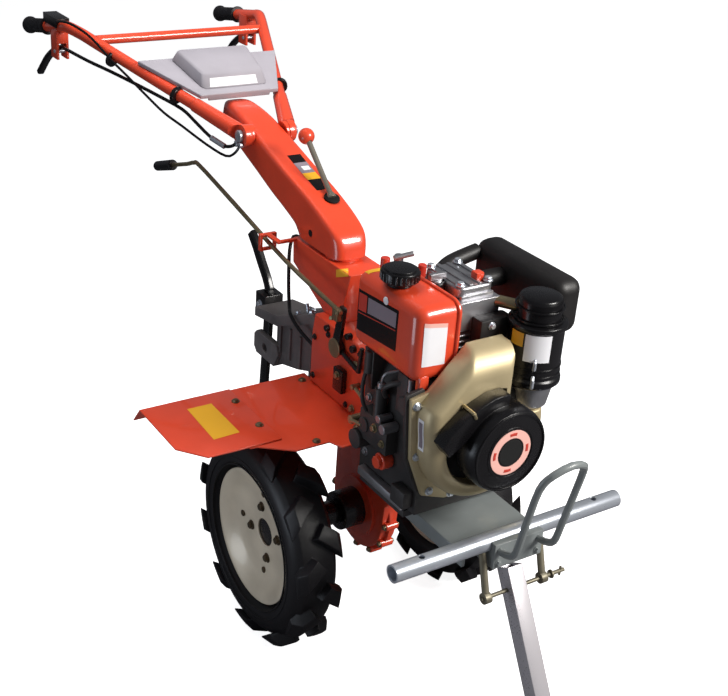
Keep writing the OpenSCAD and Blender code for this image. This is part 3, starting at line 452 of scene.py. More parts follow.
class Form:
    """One mesh in the making, in the level frame, in millimetres."""

    def __init__(self) -> None:
        self.bm = bmesh.new()

    def loft(self, rings: Sequence[Sequence[Vector]], closed: bool = True) -> "Form":
        """Skin over rings of equal length.

        Args:
            rings: The rings.
            closed: Whether both ends are capped.

        Returns:
            This form.
        """
        rows = [[self.bm.verts.new(point) for point in ring] for ring in rings]
        count = len(rows[0])
        for low, high in zip(rows, rows[1:]):
            for index in range(count):
                after = (index + 1) % count
                self.bm.faces.new((low[index], low[after], high[after], high[index]))
        if closed:
            self.bm.faces.new(rows[0][::-1])
            self.bm.faces.new(rows[-1])
        return self

    def tube(self, path: Sequence[Point], radius: float, sides: int = 14) -> "Form":
        """Round bar along a path.

        Args:
            path: Its centre line.
            radius: Its radius.
            sides: Facets around it.

        Returns:
            This form.
        """
        line = [Vector(point) for point in path]
        side = None
        rings = []
        for index, point in enumerate(line):
            ahead = (line[min(index + 1, len(line) - 1)] - line[max(index - 1, 0)]).normalized()
            side = across(ahead)[0] if side is None else (side - ahead * side.dot(ahead)).normalized()
            other = ahead.cross(side)
            rings.append([
                point + radius * (math.cos(turn) * side + math.sin(turn) * other)
                for turn in (math.tau * step / sides for step in range(sides))])
        return self.loft(rings)

    def revolve(self, profile: Sequence[Point], centre: Point, axis: Point, steps: int = 40,
                capped: bool = True) -> "Form":
        """Turned shape.

        Args:
            profile: Radius and height of each corner, from the foot to the head.
            centre: Point on the axis where the height is 0.
            axis: Direction of the axis.
            steps: Facets around it.
            capped: Whether foot and head are closed; a ring's profile closes by itself.

        Returns:
            This form.
        """
        side, other, along = across(axis)
        turns = [math.tau * step / steps for step in range(steps)]
        return self.loft([
            [Vector(centre) + along * height
             + radius * (math.cos(turn) * side + math.sin(turn) * other) for turn in turns]
            for radius, height in profile], capped)

    def ring(self, inner: float, outer: float, height: float, centre: Point, axis: Point) -> "Form":
        """Flat ring of a given height."""
        profile = [(inner, 0), (outer, 0), (outer, height), (inner, height), (inner, 0)]
        return self.revolve(profile, centre, axis, 64, capped=False)

    def rod(self, start: Point, end: Point, radius: float, sides: int = 16) -> "Form":
        """Straight round bar with slightly broken ends."""
        axis = Vector(end) - Vector(start)
        long, chamfer = axis.length, min(radius * 0.18, 1.2)
        return self.revolve(
            [(radius - chamfer, 0), (radius, chamfer), (radius, long - chamfer), (radius - chamfer, long)],
            start, axis, sides)

    def plate(self, outline: Sequence[Point], origin: Point, u: Point, v: Point,
              thickness: float, bevel: float = 0.0) -> "Form":
        """Flat plate.

        Args:
            outline: Corners in the directions u and v.
            origin: Where the outline's origin lies.
            u: First direction.
            v: Second direction.
            thickness: Depth in the direction u x v.
            bevel: Width of the softened edges.

        Returns:
            This form.
        """
        first, second = Vector(u).normalized(), Vector(v).normalized()
        deep = first.cross(second) * thickness
        ring = [Vector(origin) + first * a + second * b for a, b in outline]
        count = len(self.bm.faces)
        self.loft([ring, [point + deep for point in ring]])
        return self._soften(count, bevel)

    def block(self, low: Point, high: Point, bevel: float = 2.0) -> "Form":
        """Box between two corners, with softened edges."""
        width, depth, height = (b - a for a, b in zip(low, high))
        outline = [(0, 0), (width, 0), (width, depth), (0, depth)]
        return self.plate(outline, low, (1, 0, 0), (0, 1, 0), height, bevel)

    def bolt(self, seat: Point, axis: Point, flats: float = 11.0, height: float = 6.0) -> "Form":
        """Hexagon head on a washer.

        Args:
            seat: Middle of the face that it sits on.
            axis: Direction in which the head stands out.
            flats: Width over the flats.
            height: Height of the head.

        Returns:
            This form.
        """
        edge = flats / math.sqrt(3)
        self.revolve([(flats * 0.78, -0.5), (flats * 0.78, 1.4)], seat, axis, 20)
        return self.revolve(
            [(edge, 1.2), (edge, height - 1.2), (edge * 0.84, height)], seat, axis, 6)

    def _soften(self, first_face: int, width: float) -> "Form":
        """Bevels the sharp edges of the faces made since first_face."""
        if width > 0:
            self.bm.faces.ensure_lookup_table()
            fresh = {edge for face in self.bm.faces[first_face:] for edge in face.edges}
            self.bm.normal_update()
            sharp = [edge for edge in fresh if edge.calc_face_angle(0) > SHARP_ANGLE]
            bmesh.ops.bevel(self.bm, geom=sharp, offset=width, segments=2, profile=0.6,
                            affect="EDGES", clamp_overlap=True)
        return self

    def mesh(self, name: str, matrix: Matrix) -> bpy.types.Mesh:
        """Ends the form.

        Args:
            name: Name of the mesh.
            matrix: From the level frame to the row frame.

        Returns:
            The mesh, shaded smooth apart from its sharp edges.
        """
        bmesh.ops.recalc_face_normals(self.bm, faces=self.bm.faces)
        self.bm.transform(matrix)
        return to_mesh(self.bm, name)


def to_mesh(bm: bmesh.types.BMesh, name: str) -> bpy.types.Mesh:
    """Turns a bmesh into a mesh, smooth apart from its sharp edges."""
    for face in bm.faces:
        face.smooth = True
    for edge in bm.edges:
        edge.smooth = edge.calc_face_angle(math.pi) < SHARP_ANGLE
    made = bpy.data.meshes.new(name)
    bm.to_mesh(made)
    bm.free()
    return made


class Workshop:
    """Puts pieces on the machine."""

    def __init__(self, packed: dict) -> None:
        self.level = LevelFrame.of(packed)
        self.nodes: dict[str, bpy.types.Object] = packed["nodes"]
        self.paint = Paintshop()
        self._meshes = {name: node.data for name, node in self.nodes.items()}
        self._trees: dict[str, BVHTree] = {}

    def add(self, name: str, form: Form, skin: Skin, body: Body,
            replaces: Iterable[str] = ()) -> bpy.types.Object:
        """Adds a piece.

        Args:
            name: Name of the piece.
            form: Its shape.
            skin: Its finish.
            body: The body that it rides on.
            replaces: CAD nodes that it stands for.

        Returns:
            The piece.
        """
        return self._place(name, form.mesh(name, self.level.matrix), skin, body, replaces)

    def _place(self, name: str, mesh: bpy.types.Mesh, skin: Skin, body: Body,
               replaces: Iterable[str]) -> bpy.types.Object:
        """Links a mesh as a piece, paints it and lets it ride."""
        piece = bpy.data.objects.new(name, mesh)
        bpy.context.scene.collection.objects.link(piece)
        self._meshes[name] = mesh
        self.paint.coat(piece, skin)
        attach(piece, body.value)
        if replaces:
            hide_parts(*replaces)
        log.info("piece %s: %d faces, %s, rides on %s", name, len(mesh.polygons), skin.name, body.value)
        return piece

    def carry(self, skin: Skin, *names: str) -> None:
        """Shows CAD nodes as they are, with a finish."""
        for name in names:
            self.paint.coat(self.nodes[name], skin)
            log.info("node %s: %s", name, skin.name)

    def refine(self, node: str, skin: Skin, body: Body, bevel: float = 0.0) -> bpy.types.Object:
        """Stands a finer copy in for a CAD node.

        Args:
            node: The node.
            skin: Its finish.
            body: The body that it rides on.
            bevel: Width of softened edges, in millimetres.

        Returns:
            The piece.
        """
        bm = bmesh.new()
        bm.from_mesh(self.nodes[node].data)
        bmesh.ops.remove_doubles(bm, verts=bm.verts, dist=WELD)
        bmesh.ops.dissolve_limit(bm, angle_limit=FLAT_ANGLE, verts=bm.verts, edges=bm.edges)
        if bevel:
            bm.normal_update()
            sharp = [edge for edge in bm.edges if edge.calc_face_angle(0) > SHARP_ANGLE]
            bmesh.ops.bevel(bm, geom=sharp, offset=bevel * MM, segments=3, profile=0.5,
                            affect="EDGES", clamp_overlap=True)
        bmesh.ops.triangulate(bm, faces=[face for face in bm.faces if len(face.verts) > 4])
        return self._place(node + "_skin", to_mesh(bm, node + "_skin"), skin, body, [node])

    def decal(self, name: str, node: str, corners: Sequence[Point], cast: Point, skin: Skin,
              body: Body, lift: float = 0.5, steps: int = 14) -> bpy.types.Object:
        """Thin plain field on a node's face.

        Args:
            name: Name of the piece.
            node: CAD node or piece that it lies on.
            corners: Four corners, in turn, near the face.
            cast: Direction in which it is laid on the face.
            skin: Its finish.
            body: The body that it rides on.
            lift: Thickness, in millimetres.
            steps: Cells along each side.

        Returns:
            The piece.
        """
        if node not in self._trees:
            data = self._meshes[node]
            self._trees[node] = BVHTree.FromPolygons(
                [vertex.co for vertex in data.vertices],
                [list(polygon.vertices) for polygon in data.polygons])
        towards = self.level.towards(cast)
        a, b, c, d = (self.level.at(corner) for corner in corners)
        bm = bmesh.new()
        rows = []
        for row in range(steps + 1):
            down = row / steps
            line = []
            for column in range(steps + 1):
                along = column / steps
                start = a.lerp(b, along).lerp(d.lerp(c, along), down) - towards * CAST_FROM
                place, normal, _, _ = self._trees[node].ray_cast(start, towards)
                if place is None:
                    place, normal = start + towards * CAST_FROM, -towards
                line.append(bm.verts.new(place + normal * lift * MM))
            rows.append(line)
        for low, high in zip(rows, rows[1:]):
            for index in range(steps):
                bm.faces.new((low[index], low[index + 1], high[index + 1], high[index]))
        return self._place(name, to_mesh(bm, name), skin, body, ())


@dataclass
class Assembly:
    """A group of pieces that belong together.

    Attributes:
        body: The body that its pieces ride on.
    """

    body: Body = Body.FRAME

    def dress(self, shop: Workshop) -> None:
        """Adds the group's looks."""
        raise NotImplementedError

    def refine(self, shop: Workshop, skin: Skin, **bevels: float) -> None:
        """Stands finer copies in for CAD nodes.

        Args:
            shop: The workshop.
            skin: Their finish.
            bevels: Width of the softened edges of each node, in millimetres.
        """
        for node, bevel in bevels.items():
            shop.refine(node, skin, self.body, bevel)

    def fit(self, shop: Workshop, *pieces: tuple[str, Form, Skin]) -> None:
        """Adds pieces that the CAD leaves to the looks.

        Args:
            shop: The workshop.
            pieces: Name, shape and finish of each.
        """
        for name, form, skin in pieces:
            shop.add(name, form, skin, self.body)


@dataclass
class Wheels(Assembly):
    """Tyres, rims and half axles.

    Attributes:
        disc: Distance of the rim discs from the machine's middle.
        hub_circle: Radius of the hub bolts.
        outer_circle: Radius of the outer bolts.
        outer_lean: Angle from a hub bolt to its outer bolt, in degrees.
        first: Angle of the first hub bolt of the right and the left wheel, in degrees.
        beads: Radius of each side-wall ring and its distance from the machine's middle.
    """

    disc: float = 233.0
    hub_circle: float = 57.5
    outer_circle: float = 92.0
    outer_lean: float = 11.0
    first: tuple[float, float] = (75.0, 1.0)
    beads: Sequence[tuple[float, float]] = ((158.0, 273.3), (174.0, 275.8))

    def dress(self, shop: Workshop) -> None:
        """Both wheels."""
        for side, body, first in zip((-1, 1), (Body.WHEEL_RIGHT, Body.WHEEL_LEFT), self.first):
            tag = body.value.split("_")[1]
            shop.refine("tyre_" + tag, Skin.RUBBER, body, 2.5)
            shop.refine("rim_" + tag, Skin.CREAM, body, 1.5)
            shop.refine("axle_" + tag, Skin.BLACK_PAINT, body, 1.5)
            bolts, dots, beads = Form(), Form(), Form()
            out = Vector((side, 0, 0))
            for index in range(4):
                turn = math.radians(first + 90 * index)
                way = Vector((0, math.cos(turn), math.sin(turn)))
                bolts.bolt(out * self.disc + way * self.hub_circle, out, 14, 8)
                lean = Matrix.Rotation(math.radians(self.outer_lean), 3, "X") @ way
                dots.revolve([(7, -1), (7, 1.4), (5, 2.6)],
                             out * (self.disc + 2.5) + lean * self.outer_circle, out, 18)
            for radius, inset in self.beads:
                beads.ring(radius - 1.6, radius + 1.6, 2.4, out * inset, out)
            shop.add("hub_bolts_" + tag, bolts, Skin.BRONZE, body)
            shop.add("rim_bolts_" + tag, dots, Skin.BRONZE, body)
            shop.add("sidewall_beads_" + tag, beads, Skin.RUBBER, body)


@dataclass
class Transmission(Assembly):
    """Final-drive case, gearbox, column and hitch.

    Attributes:
        case_circle: Radius of the lugs round the final-drive case.
        case_sides: Right and left end of those lugs.
        housing_circle: Radius of the bolts of the axle housings.
        housing_faces: Where the right and the left housing meet the case.
        gearbox_half: Half width of the gearbox.
    """

    case_circle: float = 102.0
    case_sides: tuple[float, float] = (2.0, 32.0)
    housing_circle: float = 58.0
    housing_faces: tuple[float, float] = (-2.0, 36.0)
    gearbox_half: float = 65.0

    def dress(self, shop: Workshop) -> None:
        """Castings with their bolts and linkage."""
        self.refine(shop, Skin.ORANGE, gearcase=3.0, gearbox=3.0, column=3.0, lever_guide=1.2)
        self.refine(shop, Skin.BLACK_PAINT, axle_housings=2.0, drag_bar_clamp=1.5, drag_bar=1.5)
        self.refine(shop, Skin.HITCH, hitch_housing=3.0)
        shop.carry(Skin.PLASTIC, "rear_cable")
        self._case_bolts(shop)
        self._linkage(shop)
        self._hitch(shop)
        shop.decal("column_field", "column",
                   [(-94, 0, 570), (-66, 0, 568), (-65, 0, 552), (-93, 0, 553)],
                   (0.5, 0.79, -0.36), Skin.FIELD_YELLOW, self.body, 0.5, 6)

    def _case_bolts(self, shop: Workshop) -> None:
        """Bolt lugs round the final-drive case, bolts on the housings and the gearbox."""
        lugs, bolts, steel = Form(), Form(), Form()
        right, left = self.case_sides
        for degrees in range(180, 361, 30):
            turn = math.radians(degrees)
            y, z = self.case_circle * math.cos(turn), self.case_circle * math.sin(turn)
            lugs.rod((right, y, z), (left, y, z), 9)
            for x, way in ((right, -1), (left, 1)):
                bolts.bolt((x, y, z), (way, 0, 0), 9, 5)
        for side, x in zip((-1, 1), self.housing_faces):
            for degrees in range(30, 391, 60):
                turn = math.radians(degrees)
                y, z = self.housing_circle * math.cos(turn), self.housing_circle * math.sin(turn)
                bolts.bolt((x, y, z), (side, 0, 0), 9, 5)
            lugs.ring(43, 68, 7, (x - (7 if side < 0 else 0), 0, 0), (1, 0, 0))
        for y, z in ((-138, 285), (-138, 380), (-60, 410), (60, 400), (112, 372), (112, 282), (-20, 276)):
            for side in (-1, 1):
                steel.bolt((side * self.gearbox_half, y, z), (side, 0, 0), 9, 5)
        self.fit(shop, ("case_lugs", lugs, Skin.ORANGE), ("case_bolts", bolts, Skin.BRASS),
                 ("gearbox_bolts", steel, Skin.BLACK_PAINT))

    def _linkage(self, shop: Workshop) -> None:
        """Shift linkage on the right side of the gearbox."""
        brass, black = Form(), Form()
        for start, end, radius in (
                ((-94, 0, 480), (-66, 0, 480), 5.5), ((-92, 16, 462), (-64, 24, 454), 4.5),
                ((-82, 13, 394), (-78, 13, 394), 21), ((-72, -52, 383), (-64, -52, 383), 9),
                ((-76, -63, 341), (-76, -131, 320), 4.5), ((-84, -63, 341), (-65, -63, 341), 6)):
            brass.rod(start, end, radius)
        brass.block((-92, -8, 462), (-78, 12, 488), 2)
        black.rod((-74, -78, 433), (-74, -71, 376), 5)
        black.rod((-72, 13, 394), (-74, -71, 378), 5)
        for y, z, radius in ((63, 414, 7), (-16, 430, 7), (-38, 412, 8), (-98, 404, 6)):
            black.rod((-66 - radius, y, z), (-60, y, z), radius)
        black.block((-78, -18, 300), (-65, 16, 352), 3)
        brass.bolt((-78, -2, 338), (-1, 0, 0), 12, 7)
        brass.bolt((-65, -44, 278), (-1, 0, 0), 12, 7)
        self.fit(shop, ("linkage_brass", brass, Skin.BRASS), ("linkage_black", black, Skin.BLACK_PAINT))

    def _hitch(self, shop: Workshop) -> None:
        """Bolts, ribs and studs of the hitch housing."""
        steel, ribs = Form(), Form()
        for x in (-38, 0, 38):
            for y, z in ((172, 394), (228, 369)):
                steel.bolt((x, y, z), (0, 0.414, 0.910), 11, 7)
        for x in (-26, 26):
            steel.rod((x, 206, 378), (x, 214, 398), 4)
        for y in (160, 205, 250, 292):
            ribs.block((-43, y, 244), (43, y + 8, 322), 2)
        steel.bolt((-24, 424, 309), (-1, 0, 0), 12, 8)
        self.fit(shop, ("hitch_bolts", steel, Skin.ZINC), ("hitch_ribs", ribs, Skin.HITCH))


@dataclass
class Fenders(Assembly):
    """Both fenders with their bolts and a plain field."""

    def dress(self, shop: Workshop) -> None:
        """Sheets, bolts and field."""
        self.refine(shop, Skin.ORANGE, fenders=0.8, fender_extensions=0.8)
        bolts = Form()
        for side in (-1, 1):
            for x, y, z in ((253, 105, 266), (255, -1, 266), (182, -101, 263), (80, 130, 263),
                            (80, -90, 263)):
                bolts.bolt((side * x, y, z), (0, 0, 1), 11, 5)
        self.fit(shop, ("fender_bolts", bolts, Skin.BRASS))
        shop.decal("fender_field", "fender_extensions",
                   [(-356, 118, 300), (-302, 118, 300), (-303, -9, 300), (-361, -12, 300)],
                   (0, 0, -1), Skin.FIELD_YELLOW, self.body)


@dataclass
class Engine(Assembly):
    """Diesel engine with its tank, cleaner and muffler.

    Attributes:
        shaft_z: Height of the crankshaft above the axle.
        volute: Radius of the cowl about the crankshaft.
        duct_left: Left side of the cowl's duct.
        starter_y: Front face of the starter.
        cap: Middle of the fuel cap, seen from above.
        cleaner: Middle of the air cleaner, seen from above.
    """

    shaft_z: float = 384.0
    volute: float = 131.0
    duct_left: float = 46.0
    starter_y: float = -457.0
    cap: tuple[float, float] = (-104.0, -222.0)
    cleaner: tuple[float, float] = (110.0, -362.0)

    def dress(self, shop: Workshop) -> None:
        """The whole engine."""
        self.refine(shop, Skin.GREY_PAINT, base_plate=2.0)
        self.refine(shop, Skin.CASTING, crankcase=4.0, injection_pump=3.0)
        self.refine(shop, Skin.ALLOY, cylinder_head=1.5, rocker_cover=5.0, air_cleaner_base=2.0)
        self.refine(shop, Skin.PLASTIC, fuel_cap=1.8, air_cleaner=1.8)
        self.refine(shop, Skin.ORANGE, fuel_tank=0.0, oil_cap=3.0)
        self.refine(shop, Skin.MUFFLER, muffler=0.0, exhaust_pipe=2.0)
        self.refine(shop, Skin.BRASS, intake_elbow=1.5)
        self._tank(shop)
        self._tank_fields(shop)
        self._cowl(shop)
        self._starter_face(shop)
        self._cleaner(shop)
        self._head(shop)
        self._side(shop)

    def _tank(self, shop: Workshop) -> None:
        """Seam, cap ribs and fittings of the fuel tank."""
        seam, ribs, black, steel, red = Form(), Form(), Form(), Form(), Form()
        corners = []
        for y, z, start in ((-151, 612, 0), (-314, 612, 90), (-314, 510, 180), (-151, 510, 270)):
            for step in range(7):
                turn = math.radians(start + 15 * step)
                corners.append((-52, y + 22.5 * math.cos(turn), z + 22.5 * math.sin(turn)))
        seam.tube(corners + corners[:2], 4.0, 10)
        seam.block((-124, -336, 474), (-104, -322, 502), 3)
        for index in range(24):
            turn = math.tau * index / 24
            x, y = self.cap[0] + 34.6 * math.cos(turn), self.cap[1] + 34.6 * math.sin(turn)
            ribs.rod((x, y, 646), (x, y, 661), 2.2, 8)
        ribs.revolve([(30, 0), (29, 4), (12, 6)], (*self.cap, 663), (0, 0, 1), 40)
        black.rod((-28, -231, 600), (-32, -235, 634), 16, 24)
        steel.rod((-32, -235, 633), (-33, -236, 638), 11, 20)
        steel.block((-50, -242, 637), (-14, -232, 650), 3)
        steel.rod((-46, -134, 600), (-46, -134, 648), 9)
        steel.rod((-62, -140, 646), (-26, -152, 654), 5)
        red.rod((-74, -131, 600), (-74, -131, 646), 9)
        red.rod((-29, -186, 610), (-29, -186, 646), 8)
        self.fit(shop, ("tank_seam", seam, Skin.ORANGE), ("fuel_cap_ribs", ribs, Skin.PLASTIC),
                 ("filler_base", black, Skin.PLASTIC), ("filler_wing", steel, Skin.ALLOY),
                 ("injector_caps", red, Skin.FIELD_RED))

    def _tank_fields(self, shop: Workshop) -> None:
        """Plain fields on the fuel tank."""
        for name, (back, front), tops, feet, skin, lift in (
                ("tank_patch", (-143, -273), (600, 610), (519, 530), Skin.FIELD_BLACK, 0.4),
                ("tank_patch_red", (-147, -174), (595, 597), (560, 563), Skin.FIELD_RED, 0.8),
                ("tank_patch_grey", (-178, -268), (596, 603), (565, 574), Skin.FIELD_GREY, 0.8),
                ("tank_patch_line", (-148, -268), (556, 570), (554, 568), Skin.FIELD_RED, 0.8)):
            shop.decal(name, "fuel_tank", [(-137, back, tops[0]), (-137, front, tops[1]),
                                           (-137, front, feet[1]), (-137, back, feet[0])],
                       (1, 0, 0), skin, self.body, lift)
        shop.decal("tank_label", "fuel_tank",
                   [(-124, -336, 601), (-75, -336, 593), (-74, -336, 521), (-123, -336, 524)],
                   (0, 1, 0), Skin.FIELD_WHITE, self.body, 0.5)
        shop.decal("tank_label_head", "fuel_tank",
                   [(-124, -336, 609), (-75, -336, 601), (-75, -336, 593), (-124, -336, 601)],
                   (0, 1, 0), Skin.FIELD_ROSE, self.body, 0.6)
        shop.decal("tank_top_field", "fuel_tank",
                   [(-124, -136, 660), (-74, -138, 660), (-92, -160, 660), (-126, -156, 660)],
                   (0, 0, -1), Skin.FIELD_YELLOW, self.body, 0.5)
        dot = Form().revolve([(7.5, 0), (7.5, 1.0), (6.5, 1.6)], (-136.8, -232, 612), (-1, 0, 0), 28)
        self.fit(shop, ("tank_dot", dot, Skin.FIELD_WHITE))

    def _reach(self, turn: float, inset: float, top: float) -> float:
        """Reach of the cowl's outline from the crankshaft.

        Args:
            turn: Angle from the machine's left, upwards, in radians.
            inset: How far the outline draws in at this depth.
            top: Height of the duct above the axle at this depth.

        Returns:
            The reach: a circle with a slanted side to the duct, cut off at the top and beside the cleaner.
        """
        ledge, ledge_end = 33.0, 35.7
        swell, swell_span, swell_start = 21.0, 34.0, 147.0
        slant, slant_x, slant_z = 148.0, 0.726, 0.688
        degrees = math.degrees(turn) % 360
        if degrees >= 180:
            return self.volute - inset
        rise, side = max(math.sin(turn), 0.01), math.cos(turn)
        if degrees < ledge_end:
            return min(self.volute, ledge / rise) - inset
        cut_off = (top - self.shaft_z) / rise
        if degrees < 90:
            return min(cut_off, (self.duct_left - inset) / max(side, 0.01))
        edge = (slant - inset) / (slant_x * -side + slant_z * rise)
        if degrees >= swell_start:
            share = min((180 - degrees) / swell_span, 1)
            edge = min(self.volute + swell * share * share * (3 - 2 * share) - inset, edge)
        return min(cut_off, edge)

    def _on_cowl(self, turn: float, reach: float, y: float) -> Vector:
        """Point at an angle and a reach about the crankshaft."""
        return Vector((reach * math.cos(turn), y, self.shaft_z + reach * math.sin(turn)))

    def _cowl_form(self) -> Form:
        """Flange plate and rounded volute with the fan opening and a duct that leans back."""
        form = Form()
        form.plate([(-150, 472), (-140, 346), (-106, 261), (-53, 241), (53, 241), (106, 261), (122, 346),
                    (122, 417), (46, 417), (46, 537), (-58, 537), (-113, 480)],
                   (0, -342, 0), (1, 0, 0), (0, 0, 1), 10, 2.5)
        turns = [math.tau * step / 240 for step in range(240)]
        layers = [(-345, 0.0, 560), (-366, 0.0, 556), (-377, 0.4, 550), (-383, 1.6, 545), (-388, 3.6, 540),
                  (-392, 6.2, 535), (-396, 10.0, 527), (-399, 15.0, 518), (-400, 20.0, 508)]
        rings = [[self._on_cowl(turn, self._reach(turn, inset, top), y) for turn in turns]
                 for y, inset, top in layers]
        for y, opening in ((-400, 100.0), (-398.5, 98.0), (-371, 97.0)):
            rings.append([self._on_cowl(turn, min(opening, self._reach(turn, 22, 506)), y) for turn in turns])
        return form.loft(rings)

    def _cowl(self, shop: Workshop) -> None:
        """Cowl with its bolts and fields, and the starter with its guard."""
        shop.add("fan_cowl_skin", self._cowl_form(), Skin.CHAMPAGNE, self.body, ["fan_cowl"])
        starter = Form().revolve(
            [(62, 0), (62, 26), (78, 32), (82, 34), (83, 37), (83, 72), (82.4, 75), (80, 84.5), (79, 86.4),
             (77, 87)], (0, -370, self.shaft_z), (0, -1, 0), 96)
        starter.plate(
            [(-133, 413), (-115, 436), (-91, 456), (-60, 474), (-26, 487), (6, 488), (6, 466), (-28, 462),
             (-57, 440), (-83, 412), (-117, 390)], (0, -401, 0), (1, 0, 0), (0, 0, 1), 31, 2.5)
        shop.add("recoil_starter_skin", starter, Skin.PLASTIC, self.body, ["recoil_starter"])
        bolts, clip = Form(), Form()
        for x, z in ((-138, 458), (-91, 268), (-128, 352), (40, 252), (-40, 249)):
            bolts.bolt((x, -352, z), (0, -1, 0), 11, 6)
        clip.rod((-69, -433.5, 458), (-74, -433.5, 469), 3.2, 10)
        clip.rod((-74, -434, 469), (-74, -402, 470), 3.2, 10)
        self.fit(shop, ("guard_clip", clip, Skin.BRASS), ("cowl_bolts", bolts, Skin.ZINC))
        for name, margin, skin, lift in (("cowl_field", 0, Skin.FIELD_WHITE, 0.5),
                                         ("cowl_field_inner", 3, Skin.FIELD_GREY, 0.9)):
            back, front = -358 - margin, -374 + margin
            top, foot = 438 - 2 * margin, 374 + 2 * margin
            shop.decal(name, "fan_cowl_skin",
                       [(-300, front, top), (-300, back, top), (-300, back, foot), (-300, front, foot)],
                       (1, 0, 0), skin, self.body, lift, 8)

    def _starter_face(self, shop: Workshop) -> None:
        """Rims, ring and marks on the starter, and painted shade in the fan opening and at the starter's
        middle.
        """
        rim, ring, marks, dark = Form(), Form(), Form(), Form()
        out, face = (0, -1, 0), (0, self.starter_y, self.shaft_z)
        # Painted shade: a near-black ring fills the fan opening round the starter, and a near-black disc sits
        # on the starter's middle.
        dark.ring(0.5, 97.6, 2.0, (0, -371.0, self.shaft_z), out)
        dark.revolve([(26, 0), (26, 0.8)], face, out, 40)
        rim.ring(74, 77.5, 1.6, face, out)
        rim.ring(49, 51, 1.0, face, out)
        ring.ring(29, 45, 1.0, face, out)
        for middle in (2, 88, 178, 266):
            arc = [math.radians(middle + 3 * step) for step in range(-4, 5)]
            edge = [(40 * math.cos(turn), 40 * math.sin(turn)) for turn in arc]
            edge += [(34 * math.cos(turn), 34 * math.sin(turn)) for turn in reversed(arc)]
            marks.plate(edge, (0, self.starter_y - 0.2, self.shaft_z), (1, 0, 0), (0, 0, 1), 1.2, 0.2)
        self.fit(shop, ("fan_hollow", dark, Skin.HOLLOW), ("starter_rims", rim, Skin.PLASTIC),
                 ("starter_ring", ring, Skin.FIELD_ROSE), ("starter_marks", marks, Skin.FIELD_RED))

    def _cleaner(self, shop: Workshop) -> None:
        """Plain fields, clips and straps of the air cleaner."""
        axis = Vector((*self.cleaner, 0))
        right, towards = Vector((0.83, -0.56, 0)), Vector((0.56, 0.83, 0))
        for name, left, end, foot, skin in (("cleaner_field", -25, 22, 520, Skin.FIELD_WHITE),
                                            ("cleaner_field_small", -46, -28, 546, Skin.FIELD_YELLOW)):
            corners = [axis + right * sideways + Vector((0, 0, z)) - towards * 60
                       for sideways, z in ((left, 573), (end, 573), (end, foot), (left, foot))]
            shop.decal(name, "air_cleaner", corners, towards, skin, self.body, 0.6)
        clips, bands = Form(), Form()
        for degrees in (-8, 112, 232):
            turn = math.radians(degrees)
            way = Vector((math.cos(turn), math.sin(turn), 0))
            for low, high in ((470, 492), (506, 526)):
                clips.tube([axis + way * reach + Vector((0, 0, z)) for reach, z in (
                    (53, low), (59, low + 4), (59, high - 4), (53, high))], 3.5, 8)
        for z, radius in ((487, 52.6), (501, 52.6), (590, 47), (612, 46)):
            bands.ring(radius - 3, radius, 3, axis + Vector((0, 0, z)), (0, 0, 1))
        self.fit(shop, ("cleaner_clips", clips, Skin.ZINC), ("cleaner_bands", bands, Skin.PLASTIC))

    def _head(self, shop: Workshop) -> None:
        """Rocker cover ribs, plug, manifold and exhaust bolts."""
        ribs, orange, dark, steel = Form(), Form(), Form(), Form()
        for x in (-8, 12, 34, 54):
            ribs.block((x - 4, -282, 612), (x + 4, -178, 637), 3)
        for x, y in ((-8, -276), (54, -276), (-8, -184), (54, -184)):
            steel.bolt((x, y, 636), (0, 0, 1), 12, 7)
        ribs.block((-14, -290, 600), (60, -282, 620), 3)
        orange.block((32, -270, 632), (50, -252, 650), 3)
        dark.block((6, -330, 512), (78, -298, 584), 6)
        dark.rod((78, -318, 548), (84, -330, 520), 16)
        dark.rod((70, -340, 560), (104, -350, 540), 14)
        steel.rod((70, -346, 524), (92, -358, 524), 8)
        steel.bolt((30, -330, 572), (0, -1, 0), 10, 6)
        steel.bolt((62, -330, 530), (0, -1, 0), 10, 6)
        for y in (-206, -152):
            dark.bolt((68, y, 586), (1, 0, 0), 12, 10)
        dark.tube(curve([(48, -158, 572), (64, -122, 582), (104, -100, 593), (170, -98, 607)]), 16, 24)
        self.fit(shop, ("rocker_ribs", ribs, Skin.ALLOY), ("rocker_plug", orange, Skin.ORANGE),
                 ("manifold", dark, Skin.MUFFLER), ("head_bolts", steel, Skin.ZINC))

